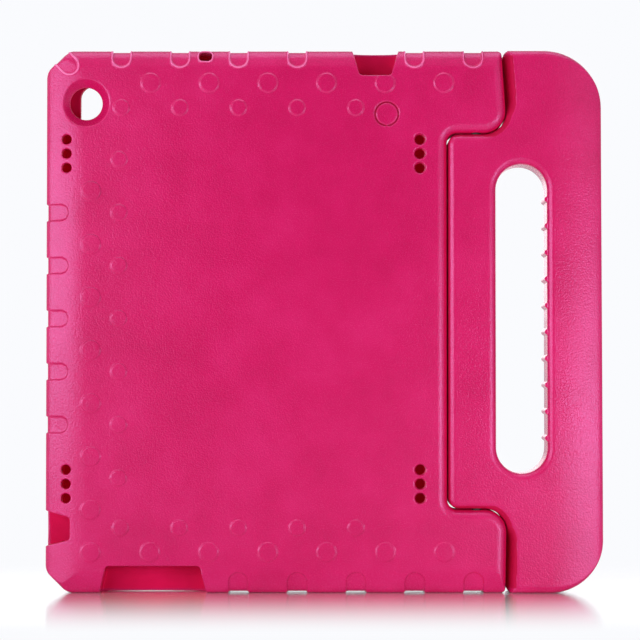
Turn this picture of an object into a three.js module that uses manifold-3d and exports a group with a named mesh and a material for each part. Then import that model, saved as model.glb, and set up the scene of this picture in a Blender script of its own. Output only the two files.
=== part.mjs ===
// Children's moulded foam tablet case whose carry handle turns backwards into a stand.
// Units are millimetres. The case stands on its bottom edge: X runs across it as seen from
// behind, Z is up, the back panel faces -Y and the screen side faces +Y. The origin is at
// the middle of the bottom.
import * as THREE from 'three';
import { mergeVertices } from 'three/addons/utils/BufferGeometryUtils.js';
import Module from 'manifold-3d';

const wasm = await Module();
wasm.setup();

// Overall block, the pips on its back included
const overallWidth = 266;
const overallHeight = 259;
const thickness = 24;

// Tray outline
const earReach = 28.2;
const earHeight = 39.6;
const upperEarTaper = 1.9;
const lowerEarTaper = 0.6;
const earCornerRadius = 10.5;
const earRootRadius = 4.8;
const cornerChamfer = 10.5;
const chamferBlendRadius = 8;
const outerEndRadius = 2.4;

// Roundings of the tray, seen from behind (wide) and from the side (deep)
const leftRoundingWide = 19;
const leftRoundingDeep = 6;
const topRoundingWide = 9;
const bottomRoundingWide = 12.5;
const endRoundingDeep = 5;
const trayBackEdgeRadius = 4.5;
const trayFrontEdgeRadius = 3;

// Tablet pocket and the lip that holds the tablet in
const panelThickness = 6;
const pocketDepth = 9.5;
const pocketEndWall = 8.75;
const pocketLeftWall = 7.4;
const pocketRightWall = 10.4;
const pocketCornerRadius = 6;
const lipOverhang = 7.8;
const lipEdgeRadius = 3;

// The moulded features sit this far above mid height
const featureRaise = 1.2;

// Grip notches across the edges, and the raised round pips inside them
const notchPitch = 28;
const firstNotchInset = 36.1;
const endNotchWidth = 9.5;
const topNotchLength = 8;
const bottomNotchLength = 10;
const leftNotchPitch = 25.3;
const leftNotchWidth = 7.9;
const leftNotchLength = 11;
const leftNotchesEachWay = 2;
const notchDepth = 0.9;
const largePipDiameter = 9;
const smallPipDiameter = 7.4;
const pipHeight = 0.5;
const largeRowFromTop = 15.7;
const smallRowFromTop = 27.6;
const largeRowFromBottom = 19.6;
const smallRowFromBottom = 31.1;
const largeColumnInset = 21.8;
const smallColumnInset = 35.1;
const largeColumnLead = 10.2;
const smallPipsEachWay = 3;

// Round mark, left plain
const markInset = 28.8;
const markFromTop = 30.6;
const markDiameter = 11.9;
const markGroove = 1;
const markDepth = 0.6;

// Camera hole
const cameraInset = 19;
const cameraFromTop = 25.3;
const cameraMouthDiameter = 23;
const cameraHoleDiameter = 15.5;
const cameraStraight = 1.2;

// Sound holes, three in a column
const soundHoleDiameter = 4.8;
const soundHolePitch = 6.8;
const soundHolesEachWay = 1;
const soundColumnSpread = 78.8;
const leftSoundInset = 10;
const rightSoundInset = 13;

// Jack notch in the top edge
const jackInset = 76.2;
const jackDiameter = 6.2;
const jackNotchLength = 4.8;

// Cut-outs that leave only the lip
const portInset = 34.2;
const portOuterWidth = 22;
const portInnerWidth = 15;
const portReach = 12;
const portLipSetback = 0.3;
const keyFromBottom = 30.7;
const keyOuterWidth = 16.5;
const keyInnerWidth = 9.8;
const keyReach = 10.8;
const keyLipSetback = 0.15;
const plugInset = 51.4;
const plugOuterWidth = 51;
const plugInnerWidth = 44.6;
const plugReach = 13;
const plugLipSetback = 0.3;
const cutoutCornerRadius = 1.5;

// Handle, measured across from the tray's wall to its outer side
const handleWidth = 74.3;
const swingGap = 0.9;
const upperCornerRadius = 27.5;
const lowerCornerRadius = 25.5;
const outerSideTaper = 0.5;
const handleEdgeRadius = 3.2;
const crownWide = 25;
const crownDeep = 4;
const scoopWide = 3.2;
const scoopDeep = 9;
const gripBarWidth = 26.6;
const slotWidth = 24.4;
const slotHeight = 147.5;
const ribRadius = 1.25;
const ribPitch = 12.67;
const ribCount = 10;
const ribSetback = 1.8;

// Pivot pins
const pinRadius = 2.5;
const pinReach = 12;
const pinClearance = 0.3;
const pinDepth = 6;

// Facets
const arcSegments = 3;
const fineArcSegments = 4;
const edgeSegments = 3;
const largePipFacets = 14;
const smallPipFacets = 12;
const soundHoleFacets = 12;
const ribFacets = 10;
const roundFacets = 28;
const notchArcSteps = 8;
const cornerArcSteps = 4;

// Room for a cutter to pass the face that it cuts, and how far two cutters that join overlap
const pass = 4;
const overlap = 0.5;
const mergeTolerance = 0.0005;

// Places that follow from the sizes above
const leftX = -overallWidth / 2;
const rightX = overallWidth / 2;
const backY = pipHeight - thickness / 2;
const frontY = thickness / 2;
const topZ = overallHeight;
const midZ = overallHeight / 2 + featureRaise;
const wallX = rightX - handleWidth;
const earEndX = wallX + earReach;
const upperEarZ = topZ - earHeight;
const pocketFloorY = backY + panelThickness;
const lipY = pocketFloorY + pocketDepth;
const pocketTopZ = topZ - pocketEndWall + featureRaise;
const pocketBottomZ = pocketEndWall + featureRaise;
const tongueX = wallX + swingGap;
const shoulderX = earEndX + swingGap;
const tongueTopZ = upperEarZ - swingGap;
const tongueBottomZ = earHeight + swingGap;
const pivotX = (wallX + earEndX) / 2;
const pivotY = backY + pinDepth;

const foam = new THREE.MeshStandardMaterial({ color: 0xd42664, roughness: 0.55, metalness: 0 });
const nylon = new THREE.MeshStandardMaterial({ color: 0x211f21, roughness: 0.4, metalness: 0 });

// A closed three.js geometry as a solid that can be cut and joined
function solid(geometry) {
  geometry.deleteAttribute('normal');
  geometry.deleteAttribute('uv');
  const merged = mergeVertices(geometry, mergeTolerance);
  const corners = merged.index.array;
  const triangles = [];
  for (let i = 0; i < corners.length; i += 3) {
    const [a, b, c] = [corners[i], corners[i + 1], corners[i + 2]];
    if (a !== b && b !== c && c !== a) {
      triangles.push(a, b, c);
    }
  }
  return new wasm.Manifold(new wasm.Mesh({
    numProp: 3,
    vertProperties: merged.attributes.position.array,
    triVerts: new Uint32Array(triangles),
  }));
}

// A named mesh from a solid
function namedMesh(name, body, material) {
  const { vertProperties, triVerts } = body.getMesh();
  const geometry = new THREE.BufferGeometry();
  geometry.setAttribute('position', new THREE.BufferAttribute(vertProperties, 3));
  geometry.setIndex(new THREE.BufferAttribute(triVerts, 1));
  geometry.computeVertexNormals();
  const mesh = new THREE.Mesh(geometry, material);
  mesh.name = name;
  return mesh;
}

// An outline drawn in X and Z, carried from one depth to another, with rounded end edges if asked
function platePrism(shape, fromY, toY, edgeRadius = 0, curveSegments = arcSegments) {
  const geometry = new THREE.ExtrudeGeometry(shape, {
    depth: toY - fromY - 2 * edgeRadius,
    curveSegments,
    bevelEnabled: edgeRadius > 0,
    bevelThickness: edgeRadius,
    bevelSize: edgeRadius,
    bevelOffset: -edgeRadius,
    bevelSegments: edgeSegments,
  });
  geometry.rotateX(Math.PI / 2);
  geometry.translate(0, toY - edgeRadius, 0);
  return solid(geometry);
}

// An outline drawn in Y and Z, carried along X
function crosswisePrism(shape, fromX, toX) {
  const geometry = new THREE.ExtrudeGeometry(shape, {
    depth: toX - fromX,
    curveSegments: fineArcSegments,
    bevelEnabled: false,
  });
  const [alongX, alongY, alongZ] = [0, 1, 2].map((i) => new THREE.Vector3().setComponent((i + 1) % 3, 1));
  geometry.applyMatrix4(new THREE.Matrix4().makeBasis(alongX, alongY, alongZ));
  geometry.translate(fromX, 0, 0);
  return solid(geometry);
}

// An outline drawn in X and Y, carried up Z
function uprightPrism(shape, fromZ, toZ) {
  const geometry = new THREE.ExtrudeGeometry(shape, {
    depth: toZ - fromZ,
    curveSegments: fineArcSegments,
    bevelEnabled: false,
  });
  geometry.translate(0, 0, fromZ);
  return solid(geometry);
}

// A round cutter whose axis runs front to back
function depthCylinder(x, z, radius, fromY, toY, facets) {
  const geometry = new THREE.CylinderGeometry(radius, radius, toY - fromY, facets);
  geometry.translate(x, (fromY + toY) / 2, z);
  return solid(geometry);
}

// A round cutter whose axis stands upright
function uprightCylinder(x, y, radius, fromZ, toZ, facets) {
  const geometry = new THREE.CylinderGeometry(radius, radius, toZ - fromZ, facets);
  geometry.rotateX(Math.PI / 2);
  geometry.translate(x, y, (fromZ + toZ) / 2);
  return solid(geometry);
}

// A rectangle with round corners
function roundedRectangle(lowX, lowZ, highX, highZ, radius) {
  const shape = new THREE.Shape();
  shape.absarc(highX - radius, lowZ + radius, radius, -Math.PI / 2, 0, false);
  shape.absarc(highX - radius, highZ - radius, radius, 0, Math.PI / 2, false);
  shape.absarc(lowX + radius, highZ - radius, radius, Math.PI / 2, Math.PI, false);
  shape.absarc(lowX + radius, lowZ + radius, radius, Math.PI, 1.5 * Math.PI, false);
  shape.closePath();
  return shape;
}

// A plain rectangle that stands out a margin round a box
function rectangleRound(box, margin) {
  const shape = new THREE.Shape();
  shape.moveTo(box.min.x - margin, box.min.y - margin);
  shape.lineTo(box.max.x + margin, box.min.y - margin);
  shape.lineTo(box.max.x + margin, box.max.y + margin);
  shape.lineTo(box.min.x - margin, box.max.y + margin);
  shape.closePath();
  return shape;
}

// What an opening with a rounded front edge takes out of the lip
function roundedOpening(shape, fromY, toY, edgeRadius) {
  const points = shape.getPoints(arcSegments);
  const box = new THREE.Box2().setFromPoints(points);
  const surround = rectangleRound(box, 3 * edgeRadius);
  surround.holes.push(new THREE.Path(points));
  const block = platePrism(rectangleRound(box, 1.5 * edgeRadius), fromY, toY);
  return block
    .subtract(platePrism(surround, fromY - 2 * edgeRadius, toY, edgeRadius))
    .add(platePrism(rectangleRound(box, edgeRadius), toY, toY + pass));
}

// The left corners: a chamfer whose two ends are blended
const cornerReach = cornerChamfer + chamferBlendRadius * Math.tan(Math.PI / 8);

function drawTopLeftCorner(shape, inset) {
  const radius = chamferBlendRadius - inset;
  shape.absarc(leftX + cornerReach, topZ - chamferBlendRadius, radius, Math.PI / 2, 0.75 * Math.PI, false);
  shape.absarc(leftX + chamferBlendRadius, topZ - cornerReach, radius, 0.75 * Math.PI, Math.PI, false);
}

function drawBottomLeftCorner(shape, inset) {
  const radius = chamferBlendRadius - inset;
  shape.absarc(leftX + chamferBlendRadius, cornerReach, radius, Math.PI, 1.25 * Math.PI, false);
  shape.absarc(leftX + cornerReach, chamferBlendRadius, radius, 1.25 * Math.PI, 1.5 * Math.PI, false);
}

// The tray seen from behind, anticlockwise from the lower ear
function trayOutline() {
  const shape = new THREE.Shape();
  const corner = earCornerRadius;
  shape.moveTo(earEndX - lowerEarTaper, 0);
  shape.lineTo(earEndX, earHeight - corner);
  shape.absarc(earEndX - corner, earHeight - corner, corner, 0, Math.PI / 2, false);
  shape.absarc(wallX + earRootRadius, earHeight + earRootRadius, earRootRadius, 1.5 * Math.PI, Math.PI, true);
  shape.absarc(wallX + earRootRadius, upperEarZ - earRootRadius, earRootRadius, Math.PI, Math.PI / 2, true);
  shape.absarc(earEndX - corner, upperEarZ + corner, corner, -Math.PI / 2, 0, false);
  shape.lineTo(earEndX - upperEarTaper, topZ);
  drawTopLeftCorner(shape, 0);
  drawBottomLeftCorner(shape, 0);
  shape.closePath();
  return shape;
}

// The tray's left, top and bottom sides, shrunk by an inset and left long at the right
function sidesOutline(inset) {
  const shape = new THREE.Shape();
  shape.moveTo(rightX + pass, inset);
  shape.lineTo(rightX + pass, topZ - inset);
  drawTopLeftCorner(shape, inset);
  drawBottomLeftCorner(shape, inset);
  shape.closePath();
  return shape;
}

// The section through the tray's top and bottom edges, seen from the side
function endSection(inset) {
  const shape = new THREE.Shape();
  const roundCentreY = backY + endRoundingDeep;
  const deep = endRoundingDeep - inset;
  const topWide = topRoundingWide - inset;
  const bottomWide = bottomRoundingWide - inset;
  shape.moveTo(frontY + pass, inset);
  shape.lineTo(frontY + pass, topZ - inset);
  shape.absellipse(roundCentreY, topZ - topRoundingWide, deep, topWide, Math.PI / 2, Math.PI, false, 0);
  shape.absellipse(roundCentreY, bottomRoundingWide, deep, bottomWide, Math.PI, 1.5 * Math.PI, false, 0);
  shape.closePath();
  return shape;
}

// The section through the tray's left edge, seen from above
function leftSection(inset) {
  const shape = new THREE.Shape();
  const wide = leftRoundingWide - inset;
  const deep = leftRoundingDeep - inset;
  const centreX = leftX + leftRoundingWide;
  const centreY = backY + leftRoundingDeep;
  shape.absellipse(centreX, centreY, wide, deep, Math.PI, 1.5 * Math.PI, false, 0);
  shape.lineTo(rightX + pass, backY + inset);
  shape.lineTo(rightX + pass, frontY + pass);
  shape.lineTo(leftX + inset, frontY + pass);
  shape.closePath();
  return shape;
}

// The rounded slab that an outline is trimmed to, shrunk by an inset
function roundedSlab(inset) {
  return crosswisePrism(endSection(inset), leftX - pass, rightX + pass)
    .intersect(uprightPrism(leftSection(inset), -pass, topZ + pass));
}

// The tray's outer form before anything is cut into it
function trayBlank() {
  const backRounded = platePrism(trayOutline(), backY, frontY + 2 * pass, trayBackEdgeRadius);
  const frontRounded = platePrism(trayOutline(), backY - 2 * pass, frontY, trayFrontEdgeRadius);
  return backRounded.intersect(frontRounded).intersect(roundedSlab(0));
}

// What stays behind a recess of the given depth, or bounds what is raised where it is negative
function recessFloor(depth) {
  const plate = platePrism(sidesOutline(depth), backY + depth, frontY + 2 * pass, trayBackEdgeRadius - depth);
  return plate.intersect(roundedSlab(depth));
}

// A notch that runs in from an edge and ends in a half round
function notchCutter(x, z, turn, width, length) {
  const radius = width / 2;
  const shape = new THREE.Shape();
  shape.moveTo(-radius, -pass);
  shape.lineTo(radius, -pass);
  shape.lineTo(radius, length - radius);
  for (let i = 1; i < notchArcSteps; i += 1) {
    const angle = Math.PI * i / notchArcSteps;
    shape.lineTo(radius * Math.cos(angle), length - radius + radius * Math.sin(angle));
  }
  shape.lineTo(-radius, length - radius);
  shape.closePath();
  const cutter = platePrism(shape, backY - pass, frontY + pass);
  return cutter.rotate([0, turn, 0]).translate([x, 0, z]);
}

// Evenly spaced places from one value up to another
function places(from, to, pitch) {
  const found = [];
  for (let place = from; place <= to; place += pitch) {
    found.push(place);
  }
  return found;
}

// Evenly spaced places each way from a middle
function placesEachWay(middle, pitch, countEachWay) {
  const found = [];
  for (let i = -countEachWay; i <= countEachWay; i += 1) {
    found.push(middle + i * pitch);
  }
  return found;
}

function isClear(place, otherPlace, width, otherWidth) {
  return Math.abs(place - otherPlace) > (width + otherWidth) / 2;
}

const firstNotchX = leftX + firstNotchInset;
const notchXs = places(firstNotchX, earEndX - endNotchWidth, notchPitch);
const portX = wallX - portInset;
const plugX = leftX + plugInset;

// Every grip notch: along the top, along the bottom, up the left side and across the top left corner
function notchCutters() {
  const cutters = [];
  for (const x of notchXs) {
    if (isClear(x, portX, endNotchWidth, portOuterWidth)) {
      cutters.push(notchCutter(x, topZ, 180, endNotchWidth, topNotchLength));
    }
    if (isClear(x, plugX, endNotchWidth, plugOuterWidth)) {
      cutters.push(notchCutter(x, 0, 0, endNotchWidth, bottomNotchLength));
    }
  }
  for (const z of placesEachWay(midZ, leftNotchPitch, leftNotchesEachWay)) {
    cutters.push(notchCutter(leftX, z, 90, leftNotchWidth, leftNotchLength));
  }
  const halfChamfer = cornerChamfer / 2;
  cutters.push(notchCutter(leftX + halfChamfer, topZ - halfChamfer, 135, endNotchWidth, topNotchLength));
  return wasm.Manifold.union(cutters);
}

// Every pip, in rows along the top and bottom and two columns up the left
function pips() {
  const discs = [];
  const large = (x, z) => discs.push(
    depthCylinder(x, z, largePipDiameter / 2, backY - pass, pocketFloorY, largePipFacets),
  );
  const small = (x, z) => discs.push(
    depthCylinder(x, z, smallPipDiameter / 2, backY - pass, pocketFloorY, smallPipFacets),
  );
  for (const x of places(firstNotchX + notchPitch / 2, wallX, notchPitch)) {
    large(x, topZ - largeRowFromTop);
    large(x, largeRowFromBottom);
  }
  large(leftX + largeColumnInset, largeRowFromBottom);
  for (const x of places(firstNotchX, wallX - notchPitch / 2, notchPitch)) {
    small(x, topZ - smallRowFromTop);
    small(x, smallRowFromBottom);
  }
  const columnMid = midZ + largeColumnLead - leftNotchPitch;
  for (const z of placesEachWay(columnMid, leftNotchPitch, smallPipsEachWay)) {
    large(leftX + largeColumnInset, z);
  }
  for (const z of placesEachWay(midZ, leftNotchPitch, smallPipsEachWay)) {
    small(leftX + smallColumnInset, z);
  }
  return wasm.Manifold.union(discs).intersect(recessFloor(-pipHeight));
}

// The groove round the plain mark
function markCutter() {
  const x = wallX - markInset;
  const z = topZ - markFromTop;
  const disc = depthCylinder(x, z, markDiameter / 2, backY - pass, pocketFloorY, roundFacets);
  const middle = depthCylinder(x, z, markDiameter / 2 - markGroove, backY - 2 * pass, frontY, roundFacets);
  return disc.subtract(middle);
}

// The camera hole, a straight hole with a cone at its mouth
function cameraCutter() {
  const coneEndY = pocketFloorY - cameraStraight;
  const mouthRadius = cameraMouthDiameter / 2;
  const holeRadius = cameraHoleDiameter / 2;
  const flare = (mouthRadius - holeRadius) / (coneEndY - backY);
  const profile = [
    new THREE.Vector2(0, backY - pass),
    new THREE.Vector2(mouthRadius + flare * pass, backY - pass),
    new THREE.Vector2(holeRadius, coneEndY),
    new THREE.Vector2(holeRadius, pocketFloorY + pass),
    new THREE.Vector2(0, pocketFloorY + pass),
  ];
  const geometry = new THREE.LatheGeometry(profile, roundFacets);
  geometry.translate(leftX + cameraInset, 0, topZ - cameraFromTop);
  return solid(geometry);
}

// The sound holes, four columns in all
function soundHoleCutters() {
  const cutters = [];
  const radius = soundHoleDiameter / 2;
  for (const x of [leftX + leftSoundInset, wallX - rightSoundInset]) {
    for (const columnZ of [midZ - soundColumnSpread, midZ + soundColumnSpread]) {
      for (const z of placesEachWay(columnZ, soundHolePitch, soundHolesEachWay)) {
        cutters.push(depthCylinder(x, z, radius, backY - pass, pocketFloorY + overlap, soundHoleFacets));
      }
    }
  }
  return wasm.Manifold.union(cutters);
}

// The jack notch: a slot open to the back, with a round hole from its foot into the pocket
function jackCutter() {
  const x = leftX + jackInset;
  const holeY = (pocketFloorY + lipY) / 2;
  const slot = notchCutter(x, topZ, 180, jackDiameter, jackNotchLength)
    .trimByPlane([0, -1, 0], -holeY);
  const hole = uprightCylinder(x, holeY, jackDiameter / 2, pocketTopZ - pass, topZ + pass, soundHoleFacets);
  return slot.add(hole);
}

// A cut-out that narrows inwards from an edge and leaves the lip, set back a little
function edgeCutout(x, z, turn, outerWidth, innerWidth, reach, lipSetback) {
  const shape = new THREE.Shape();
  const outer = outerWidth / 2;
  const inner = innerWidth / 2;
  const corner = cutoutCornerRadius;
  const slope = (outer - inner) / reach;
  shape.moveTo(-outer - slope * pass, -pass);
  shape.lineTo(outer + slope * pass, -pass);
  shape.lineTo(inner + slope * corner, reach - corner);
  shape.quadraticCurveTo(inner, reach, inner - corner, reach);
  shape.lineTo(corner - inner, reach);
  shape.quadraticCurveTo(-inner, reach, -inner - slope * corner, reach - corner);
  shape.closePath();
  const throughPanel = platePrism(shape, backY - pass, lipY);
  const setback = new THREE.Shape();
  setback.moveTo(-outer, -pass);
  setback.lineTo(outer, -pass);
  setback.lineTo(outer, 0);
  setback.quadraticCurveTo(0, 2 * lipSetback, -outer, 0);
  setback.closePath();
  const throughLip = platePrism(setback, lipY - pass, frontY + pass);
  return throughPanel.add(throughLip).rotate([0, turn, 0]).translate([x, 0, z]);
}

function cutoutCutters() {
  return wasm.Manifold.union([
    edgeCutout(portX, topZ, 180, portOuterWidth, portInnerWidth, portReach, portLipSetback),
    edgeCutout(leftX, keyFromBottom, 90, keyOuterWidth, keyInnerWidth, keyReach, keyLipSetback),
    edgeCutout(plugX, 0, 0, plugOuterWidth, plugInnerWidth, plugReach, plugLipSetback),
  ]);
}

// The pocket for the tablet and the opening in front of its screen
function pocketCutter() {
  const lowX = leftX + pocketLeftWall;
  const highX = wallX - pocketRightWall;
  const pocketShape = roundedRectangle(lowX, pocketBottomZ, highX, pocketTopZ, pocketCornerRadius);
  const pocket = platePrism(pocketShape, pocketFloorY, lipY);
  const window = roundedRectangle(
    lowX + lipOverhang,
    pocketBottomZ + lipOverhang,
    highX - lipOverhang,
    pocketTopZ - lipOverhang,
    pocketCornerRadius,
  );
  return pocket.add(roundedOpening(window, lipY - overlap, frontY, lipEdgeRadius));
}

// What rounds an upright edge at the outer end of an ear or a shoulder
function outerEndCutter(x, z, towardsX, towardsZ) {
  const shape = new THREE.Shape();
  const radius = outerEndRadius;
  const centreX = x - towardsX * radius;
  const centreZ = z - towardsZ * radius;
  shape.moveTo(centreX, z + towardsZ * pass);
  shape.lineTo(x + towardsX * pass, z + towardsZ * pass);
  shape.lineTo(x + towardsX * pass, centreZ);
  for (let i = 0; i <= cornerArcSteps; i += 1) {
    const angle = Math.PI / 2 * i / cornerArcSteps;
    const across = radius * Math.cos(angle);
    const up = radius * Math.sin(angle);
    shape.lineTo(centreX + towardsX * across, centreZ + towardsZ * up);
  }
  shape.closePath();
  return platePrism(shape, backY - pass, frontY + pass);
}

// The bores that the two pins sit in
function pinBores() {
  const radius = pinRadius + pinClearance;
  const reach = pinReach + pinClearance;
  const bores = [[earHeight, tongueBottomZ], [tongueTopZ, upperEarZ]].map(([lowZ, highZ]) => (
    uprightCylinder(pivotX, pivotY, radius, lowZ - reach, highZ + reach, roundFacets)
  ));
  return wasm.Manifold.union(bores);
}

function caseTray() {
  const notches = notchCutters().subtract(recessFloor(notchDepth));
  const body = trayBlank()
    .subtract(notches)
    .add(pips())
    .subtract(markCutter().subtract(recessFloor(markDepth)))
    .subtract(pocketCutter())
    .subtract(cameraCutter())
    .subtract(soundHoleCutters())
    .subtract(jackCutter())
    .subtract(cutoutCutters())
    .subtract(outerEndCutter(earEndX - upperEarTaper, topZ, 1, 1))
    .subtract(outerEndCutter(earEndX - lowerEarTaper, 0, 1, -1))
    .subtract(pinBores());
  return namedMesh('case_tray', body, foam);
}

// The handle seen from behind, anticlockwise from its lower shoulder
function handleOutline() {
  const shape = new THREE.Shape();
  const [upper, lower] = [upperCornerRadius, lowerCornerRadius];
  const tongueCorner = earRootRadius - swingGap;
  const tongueArcX = tongueX + tongueCorner;
  const root = earCornerRadius + swingGap;
  shape.moveTo(shoulderX - lowerEarTaper, 0);
  shape.lineTo(rightX - lower, 0);
  shape.absarc(rightX - lower, lower, lower, -Math.PI / 2, 0, false);
  shape.absarc(rightX - outerSideTaper - upper, topZ - upper, upper, 0, Math.PI / 2, false);
  shape.lineTo(shoulderX - upperEarTaper, topZ);
  shape.absarc(shoulderX - root, tongueTopZ + root, root, 0, -Math.PI / 2, true);
  shape.absarc(tongueArcX, tongueTopZ - tongueCorner, tongueCorner, Math.PI / 2, Math.PI, false);
  shape.absarc(tongueArcX, tongueBottomZ + tongueCorner, tongueCorner, Math.PI, 1.5 * Math.PI, false);
  shape.absarc(shoulderX - root, tongueBottomZ - root, root, Math.PI / 2, 0, true);
  shape.closePath();
  shape.holes.push(slotOutline());
  return shape;
}

const slotRightX = rightX - gripBarWidth;

function slotOutline() {
  const radius = slotWidth / 2;
  const reach = slotHeight / 2 - radius;
  const path = new THREE.Path();
  path.absarc(slotRightX - radius, midZ + reach, radius, 0, Math.PI, false);
  path.absarc(slotRightX - radius, midZ - reach, radius, Math.PI, 2 * Math.PI, false);
  path.closePath();
  return path;
}

// The section through the grip bar, which falls away towards the outer side
function crownSection() {
  const shape = new THREE.Shape();
  shape.moveTo(wallX, frontY + pass);
  shape.lineTo(wallX, backY);
  shape.absellipse(rightX - crownWide, backY + crownDeep, crownWide, crownDeep, -Math.PI / 2, 0, false, 0);
  shape.lineTo(rightX, frontY + pass);
  shape.closePath();
  return shape;
}

// The sloping face that a shoulder turns towards an ear
function scoopCutter(mirrored) {
  const shape = new THREE.Shape();
  const taper = mirrored ? lowerEarTaper : upperEarTaper;
  const root = earCornerRadius + swingGap;
  const lowZ = tongueTopZ + scoopWide;
  shape.moveTo(wallX, topZ + 2 * pass);
  shape.lineTo(wallX, lowZ);
  shape.absarc(shoulderX - root, lowZ + root, root, -Math.PI / 2, 0, false);
  shape.lineTo(shoulderX - taper, topZ);
  shape.lineTo(shoulderX - taper, topZ + 2 * pass);
  shape.closePath();
  const geometry = new THREE.ExtrudeGeometry(shape, {
    depth: thickness,
    curveSegments: arcSegments,
    bevelThickness: scoopDeep,
    bevelSize: scoopWide,
    bevelSegments: 1,
  });
  geometry.rotateX(Math.PI / 2);
  geometry.translate(0, backY, 0);
  const cutter = solid(geometry);
  return mirrored ? cutter.mirror([0, 0, 1]).translate([0, 0, topZ]) : cutter;
}

// The ribs on the outer wall of the finger slot
function gripRibs() {
  const ribs = [];
  for (let i = 0; i < ribCount; i += 1) {
    const z = midZ + (i - (ribCount - 1) / 2) * ribPitch;
    ribs.push(depthCylinder(slotRightX, z, ribRadius, backY + ribSetback, frontY - ribSetback, ribFacets));
  }
  return wasm.Manifold.union(ribs);
}

function carryHandle() {
  const body = platePrism(handleOutline(), backY, frontY, handleEdgeRadius, fineArcSegments)
    .intersect(uprightPrism(crownSection(), -pass, topZ + pass))
    .subtract(scoopCutter(false))
    .subtract(scoopCutter(true))
    .subtract(outerEndCutter(shoulderX - upperEarTaper, topZ, -1, 1))
    .subtract(outerEndCutter(shoulderX - lowerEarTaper, 0, -1, -1))
    .subtract(pinBores())
    .add(gripRibs());
  return namedMesh('carry_handle', body, foam);
}

function pivotPin(name, gapZ) {
  const length = 2 * pinReach + swingGap;
  const geometry = new THREE.CylinderGeometry(pinRadius, pinRadius, length, roundFacets);
  geometry.rotateX(Math.PI / 2);
  const mesh = new THREE.Mesh(geometry, nylon);
  mesh.name = name;
  mesh.position.set(pivotX, pivotY, gapZ);
  return mesh;
}

const group = new THREE.Group();
group.add(caseTray());
group.add(carryHandle());
group.add(pivotPin('upper_pivot_pin', (upperEarZ + tongueTopZ) / 2));
group.add(pivotPin('lower_pivot_pin', (earHeight + tongueBottomZ) / 2));

export default group;
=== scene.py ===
"""A kids tablet case of moulded EVA foam, with a carry handle that turns on two nylon pins."""

import logging
import math
from dataclasses import dataclass
from enum import Enum
from functools import cached_property
from typing import Any, Callable, Iterable, Sequence

import bmesh
import bpy
from mathutils import Matrix, Vector


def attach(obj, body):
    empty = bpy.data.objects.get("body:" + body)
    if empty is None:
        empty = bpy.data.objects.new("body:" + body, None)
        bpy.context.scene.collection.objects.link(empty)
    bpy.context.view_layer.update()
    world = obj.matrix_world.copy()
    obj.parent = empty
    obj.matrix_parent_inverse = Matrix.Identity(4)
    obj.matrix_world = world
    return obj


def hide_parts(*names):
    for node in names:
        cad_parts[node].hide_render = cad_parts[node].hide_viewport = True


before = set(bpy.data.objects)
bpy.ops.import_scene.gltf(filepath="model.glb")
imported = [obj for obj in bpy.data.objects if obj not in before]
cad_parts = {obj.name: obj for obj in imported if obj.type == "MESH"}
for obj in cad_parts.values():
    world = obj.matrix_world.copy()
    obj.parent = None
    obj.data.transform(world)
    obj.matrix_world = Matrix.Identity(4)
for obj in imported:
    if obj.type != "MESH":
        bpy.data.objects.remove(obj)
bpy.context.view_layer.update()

log = logging.getLogger("tablet_case")

Point = tuple[float, float]
# A place along an axis and how far the outline is inset there, both in mm.
Loop = tuple[float, float]

MM = 0.001
# How far in mm a cutter runs on past what it cuts, and into what it must join.
PASS = 6.0
OVERLAP = 0.5
ARC_STEP = math.radians(5)
EDGE_STEPS = 8
CORNER_STEPS = 6
BOW_STEPS = 12
QUARTER = math.pi / 2
EIGHTH = math.pi / 4
# Faces whose direction has less than this share along the depth axis stand on edge.
UPRIGHT_SHARE = 0.6
# Points nearer to each other than this, in mm, are one.
SAME_POINT = 1e-4
# How far each vertex moves towards its neighbours' middle when a mesh is relaxed.
RELAX = 0.5
# Nearly all values of a noise texture lie between these.
NOISE_LOW, NOISE_HIGH = 0.3, 0.7


class Run(Enum):
    """The way an outline is carried: the axes of its two coordinates, then the axis it runs along."""

    DEPTH = (0, 2, 1)
    CROSSWISE = (1, 2, 0)
    UPRIGHT = (0, 1, 2)


class Join(Enum):
    """How one solid meets another."""

    ADD = "UNION"
    CUT = "DIFFERENCE"
    KEEP = "INTERSECT"


class Edge(Enum):
    """The edge of the case that a notch runs in from, as a turn about the depth axis in degrees."""

    BOTTOM = 0.0
    TOP = 180.0
    LEFT = 90.0
    CORNER = 135.0


class Surface(Enum):
    """How a face of a moulding was formed, as the number of its material; BEAD faces carry a painted
    highlight and GROOVE faces painted shade.
    """

    SKIN = 0
    CORE = 1
    BEAD = 2
    GROOVE = 3


class Body(Enum):
    """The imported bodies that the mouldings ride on."""

    CASE = "case"
    HANDLE = "handle"


class Pen:
    """Draws a closed outline, anticlockwise for a solid piece."""

    def __init__(self) -> None:
        """Starts with no points."""
        self.points: list[Point] = []

    def line_to(self, across: float, up: float) -> "Pen":
        """Adds a corner.

        Args:
            across: First coordinate in mm.
            up: Second coordinate in mm.

        Returns:
            The pen itself, so that strokes can follow each other.
        """
        if not self.points or math.dist(self.points[-1], (across, up)) > SAME_POINT:
            self.points.append((across, up))
        return self

    def arc(self, across: float, up: float, radius: float, start: float, end: float,
            radius_up: float | None = None) -> "Pen":
        """Adds an arc of a circle or an ellipse.

        Args:
            across: First coordinate of the centre in mm.
            up: Second coordinate of the centre in mm.
            radius: Radius in mm, or half the ellipse's first axis.
            start: Angle that the arc starts at, in radians.
            end: Angle that it ends at, in radians.
            radius_up: Half the ellipse's second axis in mm, if it isn't a circle.

        Returns:
            The pen itself.
        """
        steps = max(2, math.ceil(abs(end - start) / ARC_STEP))
        for i in range(steps + 1):
            angle = start + (end - start) * i / steps
            self.line_to(
                across + radius * math.cos(angle),
                up + (radius if radius_up is None else radius_up) * math.sin(angle),
            )
        return self


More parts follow.
